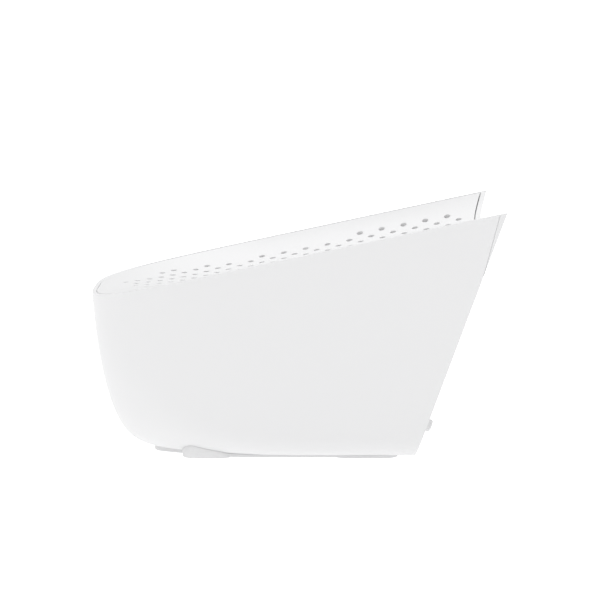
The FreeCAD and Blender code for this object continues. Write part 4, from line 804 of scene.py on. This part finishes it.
chip_black = finish("chip_black", (0.03, 0.03, 0.032), 0.55, 0.00025, 0.000006, clouding=0.1)
pad_blue = finish("pad_blue", (0.17, 0.26, 0.38), 0.75, 0.0006, 0.00002, clouding=0.1, edge_highlight_and_polish=0.0)
sink_grey = finish("sink_grey", (0.60, 0.61, 0.62), 0.34, 0.0007, 0.00001,
                   clouding=0.08, change=0.15, metallic=1.0)
screw_zinc = finish("screw_zinc", (0.50, 0.50, 0.49), 0.3, 0.0004, 0.00001,
                    clouding=0.15, change=0.2, metallic=1.0)
for part in ("processor", "memory_chips", "flash_chip", "radio_chips", "port_switch_chip"):
    fitted(part, 0.1, chip_black)
for lid in ("core_shield", "radio_shields"):
    fitted(lid, 0.1, tin_bright)
fitted("thermal_pads", 0.12, pad_blue)
fitted("heat_sink", 0.2, sink_grey)
for part in ("heat_sink_screws", "board_screws", "case_screws"):
    fitted(part, 0.25, screw_zinc)


# --- Transformers, coils, capacitors and crystals -------------------------------------------
# Black potted transformers behind the sockets, ferrite coils, sleeved capacitors and the
# drawn metal cans of the crystals, all soldered to the top of the board.

ferrite_grey = finish("ferrite_grey", (0.055, 0.055, 0.058), 0.6, 0.0005, 0.000015, clouding=0.15)
can_bright = finish("can_bright", (0.64, 0.64, 0.65), 0.28, 0.0006, 0.000006, clouding=0.06, metallic=1.0)
fitted("port_transformers", 0.3, chip_black)
fitted("inductors", 0.5, ferrite_grey)
fitted("capacitors", 0.45, can_bright)
fitted("crystals", 0.3, can_bright)


# --- Status light and its guide -------------------------------------------------------------
# A small side-looking lamp on the board's front edge, and a clear polished acrylic rod that
# carries its light to a round window in the nose.

lamp_milk = finish("lamp_milk", (0.78, 0.76, 0.68), 0.3, 0.0004, 0.000004, clouding=0.05, coat=0.3)
fitted("status_led", 0.25, lamp_milk)
guide_clear = finish("guide_clear", (0.93, 0.95, 0.96), 0.08, 0.0008, 0.000002, clouding=0.01, edge_highlight_and_polish=0.0)
guide_clear.node_tree.nodes["Principled BSDF"].inputs["Transmission Weight"].default_value = 0.85
guide_clear.node_tree.nodes["Principled BSDF"].inputs["IOR"].default_value = 1.49
fitted("light_guide", 0.15, guide_clear)


# --- Antenna leads and their sockets --------------------------------------------------------
# Thin grey coaxial leads run from gold-plated board sockets up the walls to each antenna, where
# their ends are soldered. The jacket is smooth extruded plastic.

jacket_grey = finish("jacket_grey", (0.09, 0.09, 0.095), 0.4, 0.0005, 0.000005, clouding=0.08)
fitted("antenna_sockets", 0.2, gold_plate)
for side in ("left", "right"):
    for end in ("front", "rear"):
        dressed(f"antenna_lead_{side}_{end}", jacket_grey)
